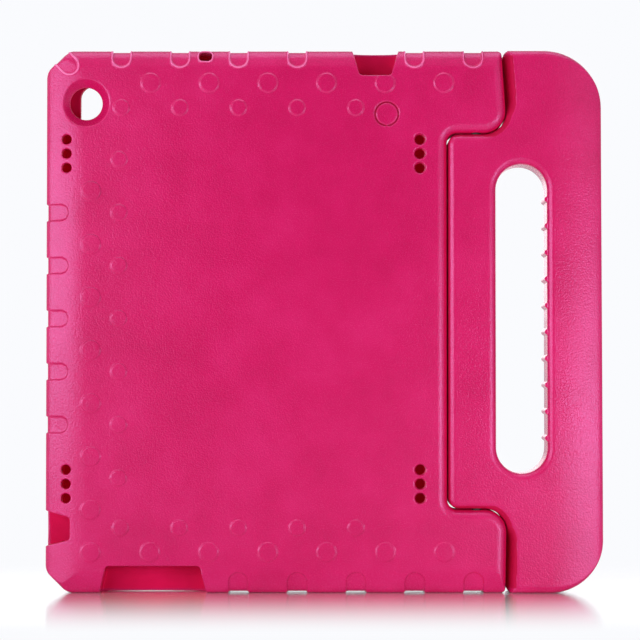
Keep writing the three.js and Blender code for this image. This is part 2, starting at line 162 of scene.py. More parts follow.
def circle(across: float, up: float, radius: float) -> list[Point]:
    """A circle as an outline.

    Args:
        across: First coordinate of its centre in mm.
        up: Second coordinate of its centre in mm.
        radius: Its radius in mm.

    Returns:
        The points of the outline, anticlockwise.
    """
    return Pen().arc(across, up, radius, 0, 2 * math.pi).points[:-1]


def rounded_box(low: Point, high: Point, radius: float) -> list[Point]:
    """A rectangle with round corners as an outline.

    Args:
        low: Its lower left corner in mm.
        high: Its upper right corner in mm.
        radius: Radius of its corners in mm.

    Returns:
        The points of the outline, anticlockwise.
    """
    pen = Pen()
    pen.arc(high[0] - radius, low[1] + radius, radius, -QUARTER, 0)
    pen.arc(high[0] - radius, high[1] - radius, radius, 0, QUARTER)
    pen.arc(low[0] + radius, high[1] - radius, radius, QUARTER, math.pi)
    pen.arc(low[0] + radius, low[1] + radius, radius, math.pi, 3 * QUARTER)
    return pen.points


def inset_outline(points: Sequence[Point], inset: float) -> list[Point]:
    """An outline moved inwards along its mitres.

    Args:
        points: The outline, anticlockwise.
        inset: How far in, in mm; a negative value moves it outwards.

    Returns:
        As many points as came in.
    """
    moved = []
    for i, (across, up) in enumerate(points):
        before = Vector(points[i]) - Vector(points[i - 1])
        after = Vector(points[(i + 1) % len(points)]) - Vector(points[i])
        first = Vector((-before.y, before.x)).normalized()
        second = Vector((-after.y, after.x)).normalized()
        mitre = (first + second) / (1 + first.dot(second))
        moved.append((across + inset * mitre.x, up + inset * mitre.y))
    return moved


class Solid:
    """A closed mesh in millimetres that other solids cut, trim or join."""

    def __init__(self, mesh: bpy.types.Mesh) -> None:
        """Puts the mesh in the scene as an object of its own.

        Args:
            mesh: A closed mesh in mm.
        """
        self.object = bpy.data.objects.new("solid", mesh)
        bpy.context.scene.collection.objects.link(self.object)

    @classmethod
    def loft(cls, outline: Sequence[Point], loops: Iterable[Loop], run: Run = Run.DEPTH) -> "Solid":
        """Carries an outline along an axis, with an inset at each place.

        Args:
            outline: The outline in mm, anticlockwise.
            loops: Pairs of a place along the axis and the inset there, in mm.
            run: Which axes the outline lies in, and which it runs along.

        Returns:
            The closed solid.
        """
        shape = bmesh.new()
        rings = []
        for place, inset in loops:
            ring = []
            for point in inset_outline(outline, inset) if inset else outline:
                corner = [0.0, 0.0, 0.0]
                corner[run.value[0]], corner[run.value[1]] = point
                corner[run.value[2]] = place
                ring.append(shape.verts.new(corner))
            rings.append(ring)
        count = len(outline)
        for lower, upper in zip(rings, rings[1:]):
            for i in range(count):
                j = (i + 1) % count
                shape.faces.new((lower[i], lower[j], upper[j], upper[i]))
        shape.faces.new(rings[0])
        shape.faces.new(rings[-1])
        bmesh.ops.recalc_face_normals(shape, faces=shape.faces)
        mesh = bpy.data.meshes.new("solid")
        shape.to_mesh(mesh)
        shape.free()
        return cls(mesh)

    @classmethod
    def prism(cls, outline: Sequence[Point], low: float, high: float, run: Run = Run.DEPTH) -> "Solid":
        """An outline carried straight from one place to another."""
        return cls.loft(outline, [(low, 0), (high, 0)], run)

    @classmethod
    def fused(cls, solids: Sequence["Solid"]) -> "Solid":
        """Several solids made one.

        Args:
            solids: The solids, which may overlap.

        Returns:
            The first solid, with the others joined to it.
        """
        for other in solids[1:]:
            solids[0].meet(other, Join.ADD)
        return solids[0]

    def bake(self) -> None:
        """Turns the object's modifiers into its mesh."""
        evaluated = self.object.evaluated_get(bpy.context.evaluated_depsgraph_get())
        mesh = bpy.data.meshes.new_from_object(evaluated)
        self.object.modifiers.clear()
        spent = self.object.data
        self.object.data = mesh
        bpy.data.meshes.remove(spent)

    def meet(self, other: "Solid", how: Join) -> "Solid":
        """Joins, cuts or trims this solid with another, which is used up.

        Args:
            other: The other solid.
            how: What happens where they meet.

        Returns:
            This solid, changed.
        """
        modifier = self.object.modifiers.new("meet", "BOOLEAN")
        modifier.operation = how.value
        modifier.solver = "MANIFOLD"
        modifier.object = other.object
        self.bake()
        spent = other.object.data
        bpy.data.objects.remove(other.object)
        bpy.data.meshes.remove(spent)
        return self

    def placed(self, turn: float = 0.0, across: float = 0.0, up: float = 0.0) -> "Solid":
        """Turns the solid about the depth axis and then moves it.

        Args:
            turn: Turn in degrees, from upright towards the right.
            across: How far along X in mm.
            up: How far along Z in mm.

        Returns:
            This solid, moved.
        """
        turned = Matrix.Rotation(math.radians(turn), 4, "Y")
        self.object.data.transform(Matrix.Translation((across, 0, up)) @ turned)
        return self

    def mirrored_upright(self, height: float) -> "Solid":
        """Mirrors the solid top to bottom.

        Args:
            height: Twice the height of the mirror in mm.

        Returns:
            This solid, mirrored.
        """
        mesh = self.object.data
        mesh.transform(Matrix.Translation((0, 0, height)) @ Matrix.Scale(-1, 4, (0, 0, 1)))
        mesh.flip_normals()
        return self

    def moulded(self, name: str, voxel: float, passes: int, budget: int) -> bpy.types.Object:
        """Gives the solid the soft rims of a foam moulding and brings it into metres.

        Args:
            name: Name of the finished piece.
            voxel: Size in mm of the even mesh that it is rebuilt with.
            passes: How many times the mesh is relaxed, which rounds each rim.
            budget: How many triangles the piece may have.

        Returns:
            The finished object.
        """
        remesh = self.object.modifiers.new("skin", "REMESH")
        remesh.mode = "VOXEL"
        remesh.voxel_size = voxel
        soften = self.object.modifiers.new("soften", "SMOOTH")
        soften.factor = RELAX
        soften.iterations = passes
        self.bake()
        triangles = sum(len(face.vertices) - 2 for face in self.object.data.polygons)
        if triangles > budget:
            thin = self.object.modifiers.new("thin", "DECIMATE")
            thin.ratio = budget / triangles
            thin.use_collapse_triangulate = True
            self.bake()
        mesh = self.object.data
        mesh.transform(Matrix.Scale(MM, 4))
        mesh.shade_smooth()
        self.object.name = name
        mesh.name = name
        return self.object


@dataclass(frozen=True)
class CaseSizes:
    """Sizes in mm that the tray and the handle share."""

    width: float = 266.0
    height: float = 259.0
    thickness: float = 24.0
    handle_width: float = 74.3
    ear_reach: float = 28.2
    ear_height: float = 39.6
    upper_ear_taper: float = 1.9
    lower_ear_taper: float = 0.6
    ear_corner: float = 10.5
    ear_root: float = 4.8
    end_radius: float = 2.4
    swing_gap: float = 0.9
    close_gap: float = 0.5
    pip_height: float = 0.5
    raise_middle: float = 1.2
    pin_radius: float = 2.5
    pin_reach: float = 12.0
    pin_clearance: float = 0.3
    pin_depth: float = 6.0
    gap_margin: float = 1.0

    @property
    def left(self) -> float:
        """X of the outer left side."""
        return -self.width / 2

    @property
    def right(self) -> float:
        """X of the outer right side."""
        return self.width / 2

    @property
    def back(self) -> float:
        """Y of the back panel's outer face, which the pips stand out from."""
        return self.pip_height - self.thickness / 2

    @property
    def front(self) -> float:
        """Y of the lip's outer face."""
        return self.thickness / 2

    @property
    def middle(self) -> float:
        """Z of the middle of the moulded features."""
        return self.height / 2 + self.raise_middle

    @property
    def wall(self) -> float:
        """X of the tray's wall beside the handle."""
        return self.right - self.handle_width

    @property
    def ear_end(self) -> float:
        """X of the outer end of the ears."""
        return self.wall + self.ear_reach

    @property
    def upper_ear(self) -> float:
        """Z of the upper ear's underside."""
        return self.height - self.ear_height

    @property
    def tongue_low(self) -> float:
        """Z of the lower end of the handle's tongue."""
        return self.ear_height + self.swing_gap

    @property
    def tongue_high(self) -> float:
        """Z of the upper end of the handle's tongue."""
        return self.upper_ear - self.swing_gap

    def pin_bores(self) -> Solid:
        """The two bores that the pins sit in.

        Returns:
            Both bores, across the two gaps between ear and tongue.
        """
        reach = self.pin_reach + self.pin_clearance
        section = circle(
            self.wall + self.ear_reach / 2,
            self.back + self.pin_depth,
            self.pin_radius + self.pin_clearance,
        )
        return Solid.fused([
            Solid.prism(section, low - reach, high + reach, Run.UPRIGHT)
            for low, high in ((self.ear_height, self.tongue_low), (self.tongue_high, self.upper_ear))
        ])

    def outer_end(self, x: float, z: float, towards_x: int, towards_z: int) -> Solid:
        """What rounds the upright edge at the outer end of an ear or a shoulder.

        Args:
            x: X of the corner.
            z: Z of the corner.
            towards_x: The side that the corner points to, 1 or -1.
            towards_z: Whether it points up, 1, or down, -1.

        Returns:
            The cutter.
        """
        radius = self.end_radius
        pen = Pen().line_to(-radius, PASS).line_to(-radius, 0)
        pen.arc(-radius, -radius, radius, QUARTER, 0).line_to(PASS, -radius).line_to(PASS, PASS)
        outline = [(x + towards_x * across, z + towards_z * up) for across, up in pen.points]
        return Solid.prism(outline, self.back - PASS, self.front + PASS)


def rounded_levels(low: float, high: float, low_radius: float, high_radius: float) -> list[Loop]:
    """Places and insets that round both end edges of a plate.

    Args:
        low: Where the plate starts, in mm.
        high: Where it ends, in mm.
        low_radius: Radius of the edge at its start, or 0.
        high_radius: Radius of the edge at its end, or 0.

    Returns:
        Pairs of a place and an inset, in order.
    """
    turns = [QUARTER * i / EDGE_STEPS for i in range(EDGE_STEPS + 1)]
    levels: list[Loop] = []
    for turn in reversed(turns) if low_radius else (0.0,):
        levels.append((low + low_radius * (1 - math.sin(turn)), low_radius * (1 - math.cos(turn))))
    for turn in turns if high_radius else (0.0,):
        levels.append((high - high_radius * (1 - math.sin(turn)), high_radius * (1 - math.cos(turn))))
    return levels


@dataclass(frozen=True)
class Notch:
    """One size of grip notch in mm: how wide it is, how far it runs in and how deep it is."""

    width: float
    length: float
    depth: float

    def outside(self, across: float, up: float) -> float:
        """How far a place lies outside the notch's outline.

        Args:
            across: Distance in mm from its middle line.
            up: Distance in mm from the edge that it runs in from.

        Returns:
            The distance in mm, below 0 inside the notch.
        """
        radius = self.width / 2
        past_straight = max(0.0, up - self.length + radius)
        return math.hypot(across, past_straight) - radius


@dataclass(frozen=True)
class NotchRow:
    """Grip notches of one size along one edge, at places in X and Z."""

    notch: Notch
    edge: Edge
    places: list[Point]
    beaded: bool

    def outside(self, x: float, z: float) -> float:
        """How far a place lies outside the nearest notch of the row.

        Args:
            x: X of the place in mm.
            z: Z of the place in mm.

        Returns:
            The distance in mm, below 0 inside a notch.
        """
        turn = math.radians(self.edge.value)
        return min(
            self.notch.outside(
                (x - px) * math.cos(turn) - (z - pz) * math.sin(turn),
                (x - px) * math.sin(turn) + (z - pz) * math.cos(turn),
            )
            for px, pz in self.places
        )


@dataclass(frozen=True)
class Cutout:
    """A cut-out that leaves only the lip: widths outside and inside, reach and set-back, in mm."""

    outer: float
    inner: float
    reach: float
    setback: float


@dataclass
class CaseTray:
    """The tray that holds the tablet: back panel, side walls, lip and the two ears. Sizes in mm."""

    sizes: CaseSizes
    corner_chamfer: float = 10.5
    chamfer_blend: float = 8.0
    left_rounding: Point = (19.0, 6.0)
    top_rounding: float = 9.0
    bottom_rounding: float = 12.5
    end_rounding_deep: float = 5.0
    back_edge: float = 4.5
    front_edge: float = 3.0
    panel: float = 6.0
    pocket_depth: float = 9.5
    pocket_end_wall: float = 8.75
    pocket_left_wall: float = 7.4
    pocket_right_wall: float = 10.4
    pocket_corner: float = 6.0
    lip_overhang: float = 7.8
    lip_edge: float = 3.0
    notch_pitch: float = 28.0
    first_notch: float = 36.1
    left_notch_pitch: float = 25.3
    top_notch: Notch = Notch(8.3, 8.0, 0.7)
    bottom_notch: Notch = Notch(9.5, 10.0, 0.9)
    left_notch: Notch = Notch(7.9, 11.0, 0.8)
    corner_notch: Notch = Notch(8.3, 8.0, 0.3)
    corner_notch_shift: Point = (3.2, 0.7)
    bead_width: float = 0.7
    bead_height: float = 0.4
    bead_margin: float = 0.2
    skin_margin: float = 1.3
    groove_margin: float = 0.1
    large_pip: float = 9.0
    small_pip: float = 7.4
    large_row_from_top: float = 15.7
    small_row_from_top: float = 27.6
    large_row_from_bottom: float = 19.6
    small_row_from_bottom: float = 31.1
    large_column_inset: float = 21.8
    small_column_inset: float = 35.1
    large_column_lead: float = 10.2
    mark_inset: float = 28.8
    mark_from_top: float = 30.6
    mark_diameter: float = 11.9
    mark_groove: float = 0.8
    mark_depth: float = 0.6
    camera_place: Point = (19.0, 25.3)
    camera_mouth: float = 23.0
    camera_hole: float = 15.5
    camera_straight: float = 1.2
    sound_hole: float = 4.8
    sound_pitch: float = 6.8
    sound_spread: float = 78.8
    sound_insets: Point = (10.0, 13.0)
    sound_mouth: tuple[Loop, ...] = ((-6.0, -1.2), (0.6, -0.35), (1.6, 0.0))
    jack_inset: float = 76.2
    jack_diameter: float = 6.2
    jack_height: float = 4.5
    jack_corner: float = 1.8
    jack_bridge: float = 0.7
    port_inset: float = 34.2
    port: Cutout = Cutout(22.0, 15.0, 12.0, 0.3)
    key_from_bottom: float = 30.7
    key: Cutout = Cutout(17.0, 10.6, 12.0, 0.15)
    plug_inset: float = 51.4
    plug: Cutout = Cutout(51.0, 44.6, 13.0, 0.3)
    cutout_corner: float = 1.5

    def left_corners(self, pen: Pen, inset: float) -> None:
        """Draws the two chamfered corners at the left, from the top down.

        Args:
            pen: The pen, which stands at the right end of the top edge.
            inset: How far in from the true outline, in mm.
        """
        blend = self.chamfer_blend
        reach = self.corner_chamfer + blend * math.tan(EIGHTH / 2)
        radius = blend - inset
        left, top = self.sizes.left, self.sizes.height
        pen.arc(left + reach, top - blend, radius, QUARTER, QUARTER + EIGHTH)
        pen.arc(left + blend, top - reach, radius, QUARTER + EIGHTH, math.pi)
        pen.arc(left + blend, reach, radius, math.pi, math.pi + EIGHTH)
        pen.arc(left + reach, blend, radius, math.pi + EIGHTH, 3 * QUARTER)

    def outline(self) -> list[Point]:
        """The tray seen from behind.

        Returns:
            Its outline in X and Z, anticlockwise from the lower ear.
        """
        size = self.sizes
        corner, root = size.ear_corner, size.ear_root
        pen = Pen().line_to(size.ear_end - size.lower_ear_taper, 0)
        pen.arc(size.ear_end - corner, size.ear_height - corner, corner, 0, QUARTER)
        pen.arc(size.wall + root, size.ear_height + root, root, 3 * QUARTER, math.pi)
        pen.arc(size.wall + root, size.upper_ear - root, root, math.pi, QUARTER)
        pen.arc(size.ear_end - corner, size.upper_ear + corner, corner, -QUARTER, 0)
        pen.line_to(size.ear_end - size.upper_ear_taper, size.height)
        self.left_corners(pen, 0)
        return pen.points

    def sides_outline(self, inset: float) -> list[Point]:
        """The left, top and bottom sides, shrunk by an inset and left long at the right.

        Args:
            inset: How far in, in mm.

        Returns:
            The outline in X and Z.
        """
        size = self.sizes
        pen = Pen().line_to(size.right + PASS, inset)
        pen.line_to(size.right + PASS, size.height - inset)
        self.left_corners(pen, inset)
        return pen.points

    def rounded_slab(self, inset: float) -> Solid:
        """The slab whose long roundings the back panel is trimmed to.

        Args:
            inset: How far the slab is shrunk, in mm.

        Returns:
            The slab.
        """
        size = self.sizes
        deep = self.end_rounding_deep
        ends = Pen().line_to(size.front + PASS, inset)
        ends.line_to(size.front + PASS, size.height - inset)
        ends.arc(size.back + deep, size.height - self.top_rounding, deep - inset,
                 QUARTER, math.pi, self.top_rounding - inset)
        ends.arc(size.back + deep, self.bottom_rounding, deep - inset,
                 math.pi, 3 * QUARTER, self.bottom_rounding - inset)
        wide, left_deep = self.left_rounding
        side = Pen().arc(size.left + wide, size.back + left_deep, wide - inset,
                         math.pi, 3 * QUARTER, left_deep - inset)
        side.line_to(size.right + PASS, size.back + inset)
        side.line_to(size.right + PASS, size.front + PASS)
        side.line_to(size.left + inset, size.front + PASS)
        slab = Solid.prism(ends.points, size.left - PASS, size.right + PASS, Run.CROSSWISE)
        return slab.meet(Solid.prism(side.points, -PASS, size.height + PASS, Run.UPRIGHT), Join.KEEP)

    def blank(self) -> Solid:
        """The tray before anything is cut into it.

        Returns:
            The whole tray as one block, trimmed to its long roundings.
        """
        size = self.sizes
        levels = rounded_levels(size.back, size.front, self.back_edge, self.front_edge)
        return Solid.loft(self.outline(), levels).meet(self.rounded_slab(0), Join.KEEP)

    def recess_floor(self, depth: float) -> Solid:
        """What stays behind a recess, or bounds what is raised.

        Args:
            depth: How deep the recess is in mm, or below 0 how high the raised part stands.

        Returns:
            The solid that a recess's cutter or a raised part is trimmed by.
        """
        size = self.sizes
        levels = rounded_levels(size.back + depth, size.front + 2 * PASS, self.back_edge - depth, 0)
        plate = Solid.loft(self.sides_outline(depth), levels)
        return plate.meet(self.rounded_slab(depth), Join.KEEP)

    def notch(self, x: float, z: float, edge: Edge, size: Notch, grow: float = 0.0) -> Solid:
        """A notch that runs in from an edge and ends in a half round.

        Args:
            x: X of its middle on the edge.
            z: Z of its middle on the edge.
            edge: The edge that it runs in from.
            size: Its width, length and depth.
            grow: How much wider and longer it is made, in mm at each side.

        Returns:
            The cutter.
        """
        radius = size.width / 2 + grow
        pen = Pen().line_to(-radius, -PASS).line_to(radius, -PASS)
        pen.arc(0, size.length + grow - radius, radius, 0, math.pi)
        cutter = Solid.prism(pen.points, self.sizes.back - PASS, self.sizes.front + PASS)
        return cutter.placed(edge.value, x, z)

    @cached_property
    def notch_rows(self) -> list[NotchRow]:
        """The rows of grip notches.

        Returns:
            The rows at the top, the bottom and the left side, and the notch across the corner.
        """
        size = self.sizes
        port_x = size.wall - self.port_inset
        plug_x = size.left + self.plug_inset
        port_reach = (self.port.outer + self.top_notch.width) / 2
        plug_reach = (self.plug.outer + self.bottom_notch.width) / 2
        across = [size.left + self.first_notch + i * self.notch_pitch for i in range(7)]
        top = [(x, size.height) for x in across if abs(x - port_x) > port_reach]
        bottom = [(x, 0.0) for x in across if abs(x - plug_x) > plug_reach]
        left = [(size.left, size.middle + i * self.left_notch_pitch) for i in range(-2, 3)]
        half = self.corner_chamfer / 2
        shift_x, shift_z = self.corner_notch_shift
        corner = [(size.left + half + shift_x, size.height - half + shift_z)]
        return [
            NotchRow(self.top_notch, Edge.TOP, top, True),
            NotchRow(self.bottom_notch, Edge.BOTTOM, bottom, False),
            NotchRow(self.left_notch, Edge.LEFT, left, False),
            NotchRow(self.corner_notch, Edge.CORNER, corner, True),
        ]

    def row_cutter(self, row: NotchRow, grow: float = 0.0) -> Solid:
        """The notches of one row as one cutter, each larger by `grow` mm at each side."""
        return Solid.fused([self.notch(x, z, row.edge, row.notch, grow) for x, z in row.places])

    def jack_mouth(self, grow: float = 0.0) -> list[Point]:
        """The outline of the jack hole's mouth.

        Args:
            grow: How much larger it is made all round, in mm.

        Returns:
            The outline in X and Z.
        """
        size = self.sizes
        x, top = size.left + self.jack_inset, size.height - self.jack_bridge
        reach = self.jack_diameter / 2 + grow
        low = (x - reach, top - self.jack_height - grow)
        return rounded_box(low, (x + reach, top + grow), self.jack_corner + grow)

    def beads(self) -> Solid:
        """The fine beads round the top notches and the jack hole, where the mould pinches the foam.

        Returns:
            The beads as one solid, filled inside until the notches are cut.
        """
        back = self.sizes.back
        blanks = [self.row_cutter(row, self.bead_width) for row in self.notch_rows if row.beaded]
        blanks.append(Solid.prism(self.jack_mouth(self.bead_width), back - PASS, back + 2 * PASS))
        beads = Solid.fused(blanks).meet(self.recess_floor(-self.bead_height), Join.KEEP)
        within = Solid.prism(self.outline(), back - PASS, back + self.left_rounding[1])
        return beads.meet(within, Join.KEEP)

    def is_bead(self, middle: Vector) -> bool:
        """Whether a face of the tray lies on a bead.

        Args:
            middle: The face's middle in mm.

        Returns:
            True on the beads round the top notches and the jack hole, whose paler colour is a painted
            highlight.
        """
        size = self.sizes
        below_top = size.height - middle.z
        lowest = self.corner_chamfer + self.top_notch.length
        if below_top > lowest or middle.y > size.back + self.left_rounding[1]:
            return False
        corner = self.jack_corner
        across = abs(middle.x - size.left - self.jack_inset) - self.jack_diameter / 2 + corner
        up = abs(below_top - self.jack_bridge - self.jack_height / 2) - self.jack_height / 2 + corner
        distances = [math.hypot(max(0.0, across), max(0.0, up)) + min(0.0, max(across, up)) - corner]
        distances += [row.outside(middle.x, middle.z) for row in self.notch_rows if row.beaded]
        return any(-self.bead_margin < distance < self.bead_width for distance in distances)

    def disc(self, x: float, z: float, diameter: float) -> Solid:
        """A round disc through the back panel's outer face."""
        back = self.sizes.back
        return Solid.prism(circle(x, z, diameter / 2), back - PASS, back + self.panel)

    def pips(self) -> Solid:
        """Every raised pip, as one solid.

        Returns:
            The rows along the top and bottom and the columns at the left.
        """
        size = self.sizes
        pitch = self.notch_pitch
        first = size.left + self.first_notch
        large = [(first + (i + 0.5) * pitch, size.height - self.large_row_from_top) for i in range(6)]
        large += [(first + (i + 0.5) * pitch, self.large_row_from_bottom) for i in range(6)]
        large.append((size.left + self.large_column_inset, self.large_row_from_bottom))
        small = [(first + i * pitch, size.height - self.small_row_from_top) for i in range(5)]
        small += [(first + i * pitch, self.small_row_from_bottom) for i in range(5)]
        for i in range(-3, 4):
            up = i * self.left_notch_pitch
            column = size.middle + self.large_column_lead - self.left_notch_pitch + up
            large.append((size.left + self.large_column_inset, column))
            small.append((size.left + self.small_column_inset, size.middle + up))
        discs = [self.disc(x, z, self.large_pip) for x, z in large]
        discs += [self.disc(x, z, self.small_pip) for x, z in small]
        return Solid.fused(discs).meet(self.recess_floor(-size.pip_height), Join.KEEP)

    def mark(self) -> Solid:
        """The groove round the plain mark.

        Returns:
            The cutter, right through the back panel.
        """
        x = self.sizes.wall - self.mark_inset
        z = self.sizes.height - self.mark_from_top
        middle = Solid.prism(
            circle(x, z, self.mark_diameter / 2 - self.mark_groove),
            self.sizes.back - 2 * PASS, self.sizes.front,
        )
        return self.disc(x, z, self.mark_diameter).meet(middle, Join.CUT)

    def camera_cutter(self) -> Solid:
        """The camera hole, a straight hole with a cone at its mouth.

        Returns:
            The cutter.
        """
        size = self.sizes
        inset, from_top = self.camera_place
        floor = size.back + self.panel
        cone_end = floor - self.camera_straight
        flare = (self.camera_mouth - self.camera_hole) / 2 / (cone_end - size.back)
        levels = [
            (size.back - PASS, -flare * (cone_end - size.back + PASS)),
            (cone_end, 0.0),
            (floor + PASS, 0.0),
        ]
        hole = circle(size.left + inset, size.height - from_top, self.camera_hole / 2)
        return Solid.loft(hole, levels)

    def sound_holes(self) -> Solid:
        """The four columns of sound holes, as one cutter.

        Returns:
            The cutter: plain holes at the left, and at the right holes that widen at their mouths.
        """
        size = self.sizes
        inner = size.back + self.panel + OVERLAP
        plain = [(size.back - PASS, 0.0), (inner, 0.0)]
        widened = [(size.back + depth, inset) for depth, inset in self.sound_mouth] + [(inner, 0.0)]
        left_inset, right_inset = self.sound_insets
        cutters = []
        for x, levels in ((size.left + left_inset, plain), (size.wall - right_inset, widened)):
            for column in (size.middle - self.sound_spread, size.middle + self.sound_spread):
                for i in (-1, 0, 1):
                    hole = circle(x, column + i * self.sound_pitch, self.sound_hole / 2)
                    cutters.append(Solid.loft(hole, levels))
        return Solid.fused(cutters)

    def jack_cutter(self) -> Solid:
        """The jack hole just below the top edge, with the bore that leads on to the pocket.

        Returns:
            The cutter.
        """
        size = self.sizes
        bore_y = size.back + self.panel + self.pocket_depth / 2
        bore = Solid.prism(
            circle(size.left + self.jack_inset, bore_y, self.jack_diameter / 2),
            size.height - self.pocket_end_wall - PASS, size.height - 2 * self.jack_bridge,
            Run.UPRIGHT,
        )
        return Solid.prism(self.jack_mouth(), size.back - PASS, bore_y).meet(bore, Join.ADD)

    def cutout(self, x: float, z: float, edge: Edge, shape: Cutout) -> Solid:
        """A cut-out that narrows inwards from an edge and leaves the lip, set back a little.

        Args:
            x: X of its middle on the edge.
            z: Z of its middle on the edge.
            edge: The edge that it is cut into.
            shape: Its sizes.

        Returns:
            The cutter.
        """
        size = self.sizes
        outer, inner, corner = shape.outer / 2, shape.inner / 2, self.cutout_corner
        slope = (outer - inner) / shape.reach
        lip = size.back + self.panel + self.pocket_depth
        start, middle, end = inner + slope * corner, inner, inner - corner
        bend = []
        for i in range(CORNER_STEPS + 1):
            t = i / CORNER_STEPS
            across = (1 - t) ** 2 * start + 2 * t * (1 - t) * middle + t ** 2 * end
            bend.append((across, shape.reach - corner * (1 - t) ** 2))
        opening = Pen().line_to(-outer - slope * PASS, -PASS).line_to(outer + slope * PASS, -PASS)
        for across, up in bend:
            opening.line_to(across, up)
        for across, up in reversed(bend):
            opening.line_to(-across, up)
        setback = Pen().line_to(-outer, -PASS).line_to(outer, -PASS)
        for i in range(BOW_STEPS + 1):
            t = i / BOW_STEPS
            setback.line_to(outer * (1 - 2 * t), 4 * shape.setback * t * (1 - t))
        cutter = Solid.prism(opening.points, size.back - PASS, lip)
        cutter.meet(Solid.prism(setback.points, lip - PASS, size.front + PASS), Join.ADD)
        return cutter.placed(edge.value, x, z)

    def cutouts(self) -> Solid:
        """The three cut-outs.

        Returns:
            One cutter for the port, the key and the plug cut-out.
        """
        size = self.sizes
        return Solid.fused([
            self.cutout(size.wall - self.port_inset, size.height, Edge.TOP, self.port),
            self.cutout(size.left, self.key_from_bottom, Edge.LEFT, self.key),
            self.cutout(size.left + self.plug_inset, 0, Edge.BOTTOM, self.plug),
        ])

    def pocket(self) -> Solid:
        """The pocket for the tablet and the opening in front of its screen.

        Returns:
            The cutter, whose opening flares with the lip's rounded edge.
        """
        size = self.sizes
        floor = size.back + self.panel
        lip = floor + self.pocket_depth
        low = (size.left + self.pocket_left_wall, self.pocket_end_wall + size.raise_middle)
        high = (
            size.wall - self.pocket_right_wall,
            size.height - self.pocket_end_wall + size.raise_middle,
        )
        pocket = Solid.prism(rounded_box(low, high, self.pocket_corner), floor, lip)
        over = self.lip_overhang
        window = rounded_box(
            (low[0] + over, low[1] + over), (high[0] - over, high[1] - over), self.pocket_corner,
        )
        levels = [(lip - OVERLAP, 0.0)]
        for i in range(EDGE_STEPS + 1):
            angle = QUARTER * i / EDGE_STEPS
            levels.append((
                size.front - self.lip_edge * (1 - math.sin(angle)),
                -self.lip_edge * (1 - math.cos(angle)),
            ))
        levels.append((size.front + PASS, -self.lip_edge))
        return pocket.meet(Solid.loft(window, levels), Join.ADD)

    def skin_depth(self, x: float, z: float) -> float:
        """How deep the rounded outer skin lies below the back plane.

        Args:
            x: X of the place in mm.
            z: Z of the place in mm.

        Returns:
            The depth in mm, from the long roundings at the left, top and bottom.
        """
        size = self.sizes
        wide, left_deep = self.left_rounding
        depth = 0.0
        for past, reach, deep in (
            (size.left + wide - x, wide, left_deep),
            (z - size.height + self.top_rounding, self.top_rounding, self.end_rounding_deep),
            (self.bottom_rounding - z, self.bottom_rounding, self.end_rounding_deep),
        ):
            share = min(1.0, max(0.0, past / reach))
            depth = max(depth, deep * (1 - math.sqrt(1 - share * share)))
        return depth

    def from_edge(self, x: float, z: float) -> float:
        """How far a place lies in from the tray's left, top, bottom and chamfered sides.

        Args:
            x: X of the place in mm.
            z: Z of the place in mm.

        Returns:
            The distance in mm from the nearest of them.
        """
        across, up, down = x - self.sizes.left, z, self.sizes.height - z
        chamfer = (across + min(up, down) - self.corner_chamfer) / math.sqrt(2)
        return min(across, up, down, chamfer)

    def surface(self, middle: Vector, normal: Vector) -> Surface:
        """Tells how a face of the tray was formed.

        Args:
            middle: The face's middle in mm.
            normal: Its direction.

        Returns:
            CORE in the pocket, the holes, the cut-outs and the gap's walls, else BEAD (painted
            highlight), GROOVE (painted shade) or SKIN.
        """
        size = self.sizes
        beside_handle = middle.x > size.wall - size.gap_margin
        if beside_handle and abs(normal.y) < UPRIGHT_SHARE:
            off_ends = 2 * size.end_radius < middle.z < size.height - 2 * size.end_radius
            return Surface.CORE if off_ends else Surface.SKIN
        # Faces on the beads get a paler colour, a painted highlight.
        if self.is_bead(middle):
            return Surface.BEAD
        deep = middle.y - size.back
        mark_x, mark_z = size.wall - self.mark_inset, size.height - self.mark_from_top
        from_mark = math.dist((middle.x, middle.z), (mark_x, mark_z)) - self.mark_diameter / 2
        # Faces in the groove round the mark get a dark colour, painted shade.
        if -self.mark_groove < from_mark < 0 and self.groove_margin < deep < 2 * self.mark_depth:
            return Surface.GROOVE
        camera_x, camera_z = size.left + self.camera_place[0], size.height - self.camera_place[1]
        from_camera = math.dist((middle.x, middle.z), (camera_x, camera_z))
        near_camera = from_camera < self.camera_mouth / 2 + size.gap_margin
        in_cone = near_camera and deep < self.panel - self.camera_straight
        below_skin = (
            deep > self.skin_depth(middle.x, middle.z) + self.skin_margin
            and self.from_edge(middle.x, middle.z) > self.skin_margin
            and middle.y < size.front - self.lip_edge
            and not beside_handle
        )
        return Surface.CORE if below_skin and not in_cone else Surface.SKIN

    def build(self) -> Solid:
        """Cuts the tray out of its blank.

        Returns:
            The tray with every edge still sharp.
        """
        size = self.sizes
        tray = self.blank()
        tray.meet(self.beads(), Join.ADD)
        for row in self.notch_rows:
            tray.meet(self.row_cutter(row).meet(self.recess_floor(row.notch.depth), Join.CUT), Join.CUT)
        tray.meet(self.pips(), Join.ADD)
        tray.meet(self.mark().meet(self.recess_floor(self.mark_depth), Join.CUT), Join.CUT)
        for cutter in (
            self.pocket(), self.camera_cutter(), self.sound_holes(), self.jack_cutter(), self.cutouts(),
            size.outer_end(size.ear_end - size.upper_ear_taper, size.height, 1, 1),
            size.outer_end(size.ear_end - size.lower_ear_taper, 0, 1, -1),
            size.pin_bores(),
        ):
            tray.meet(cutter, Join.CUT)
        return tray


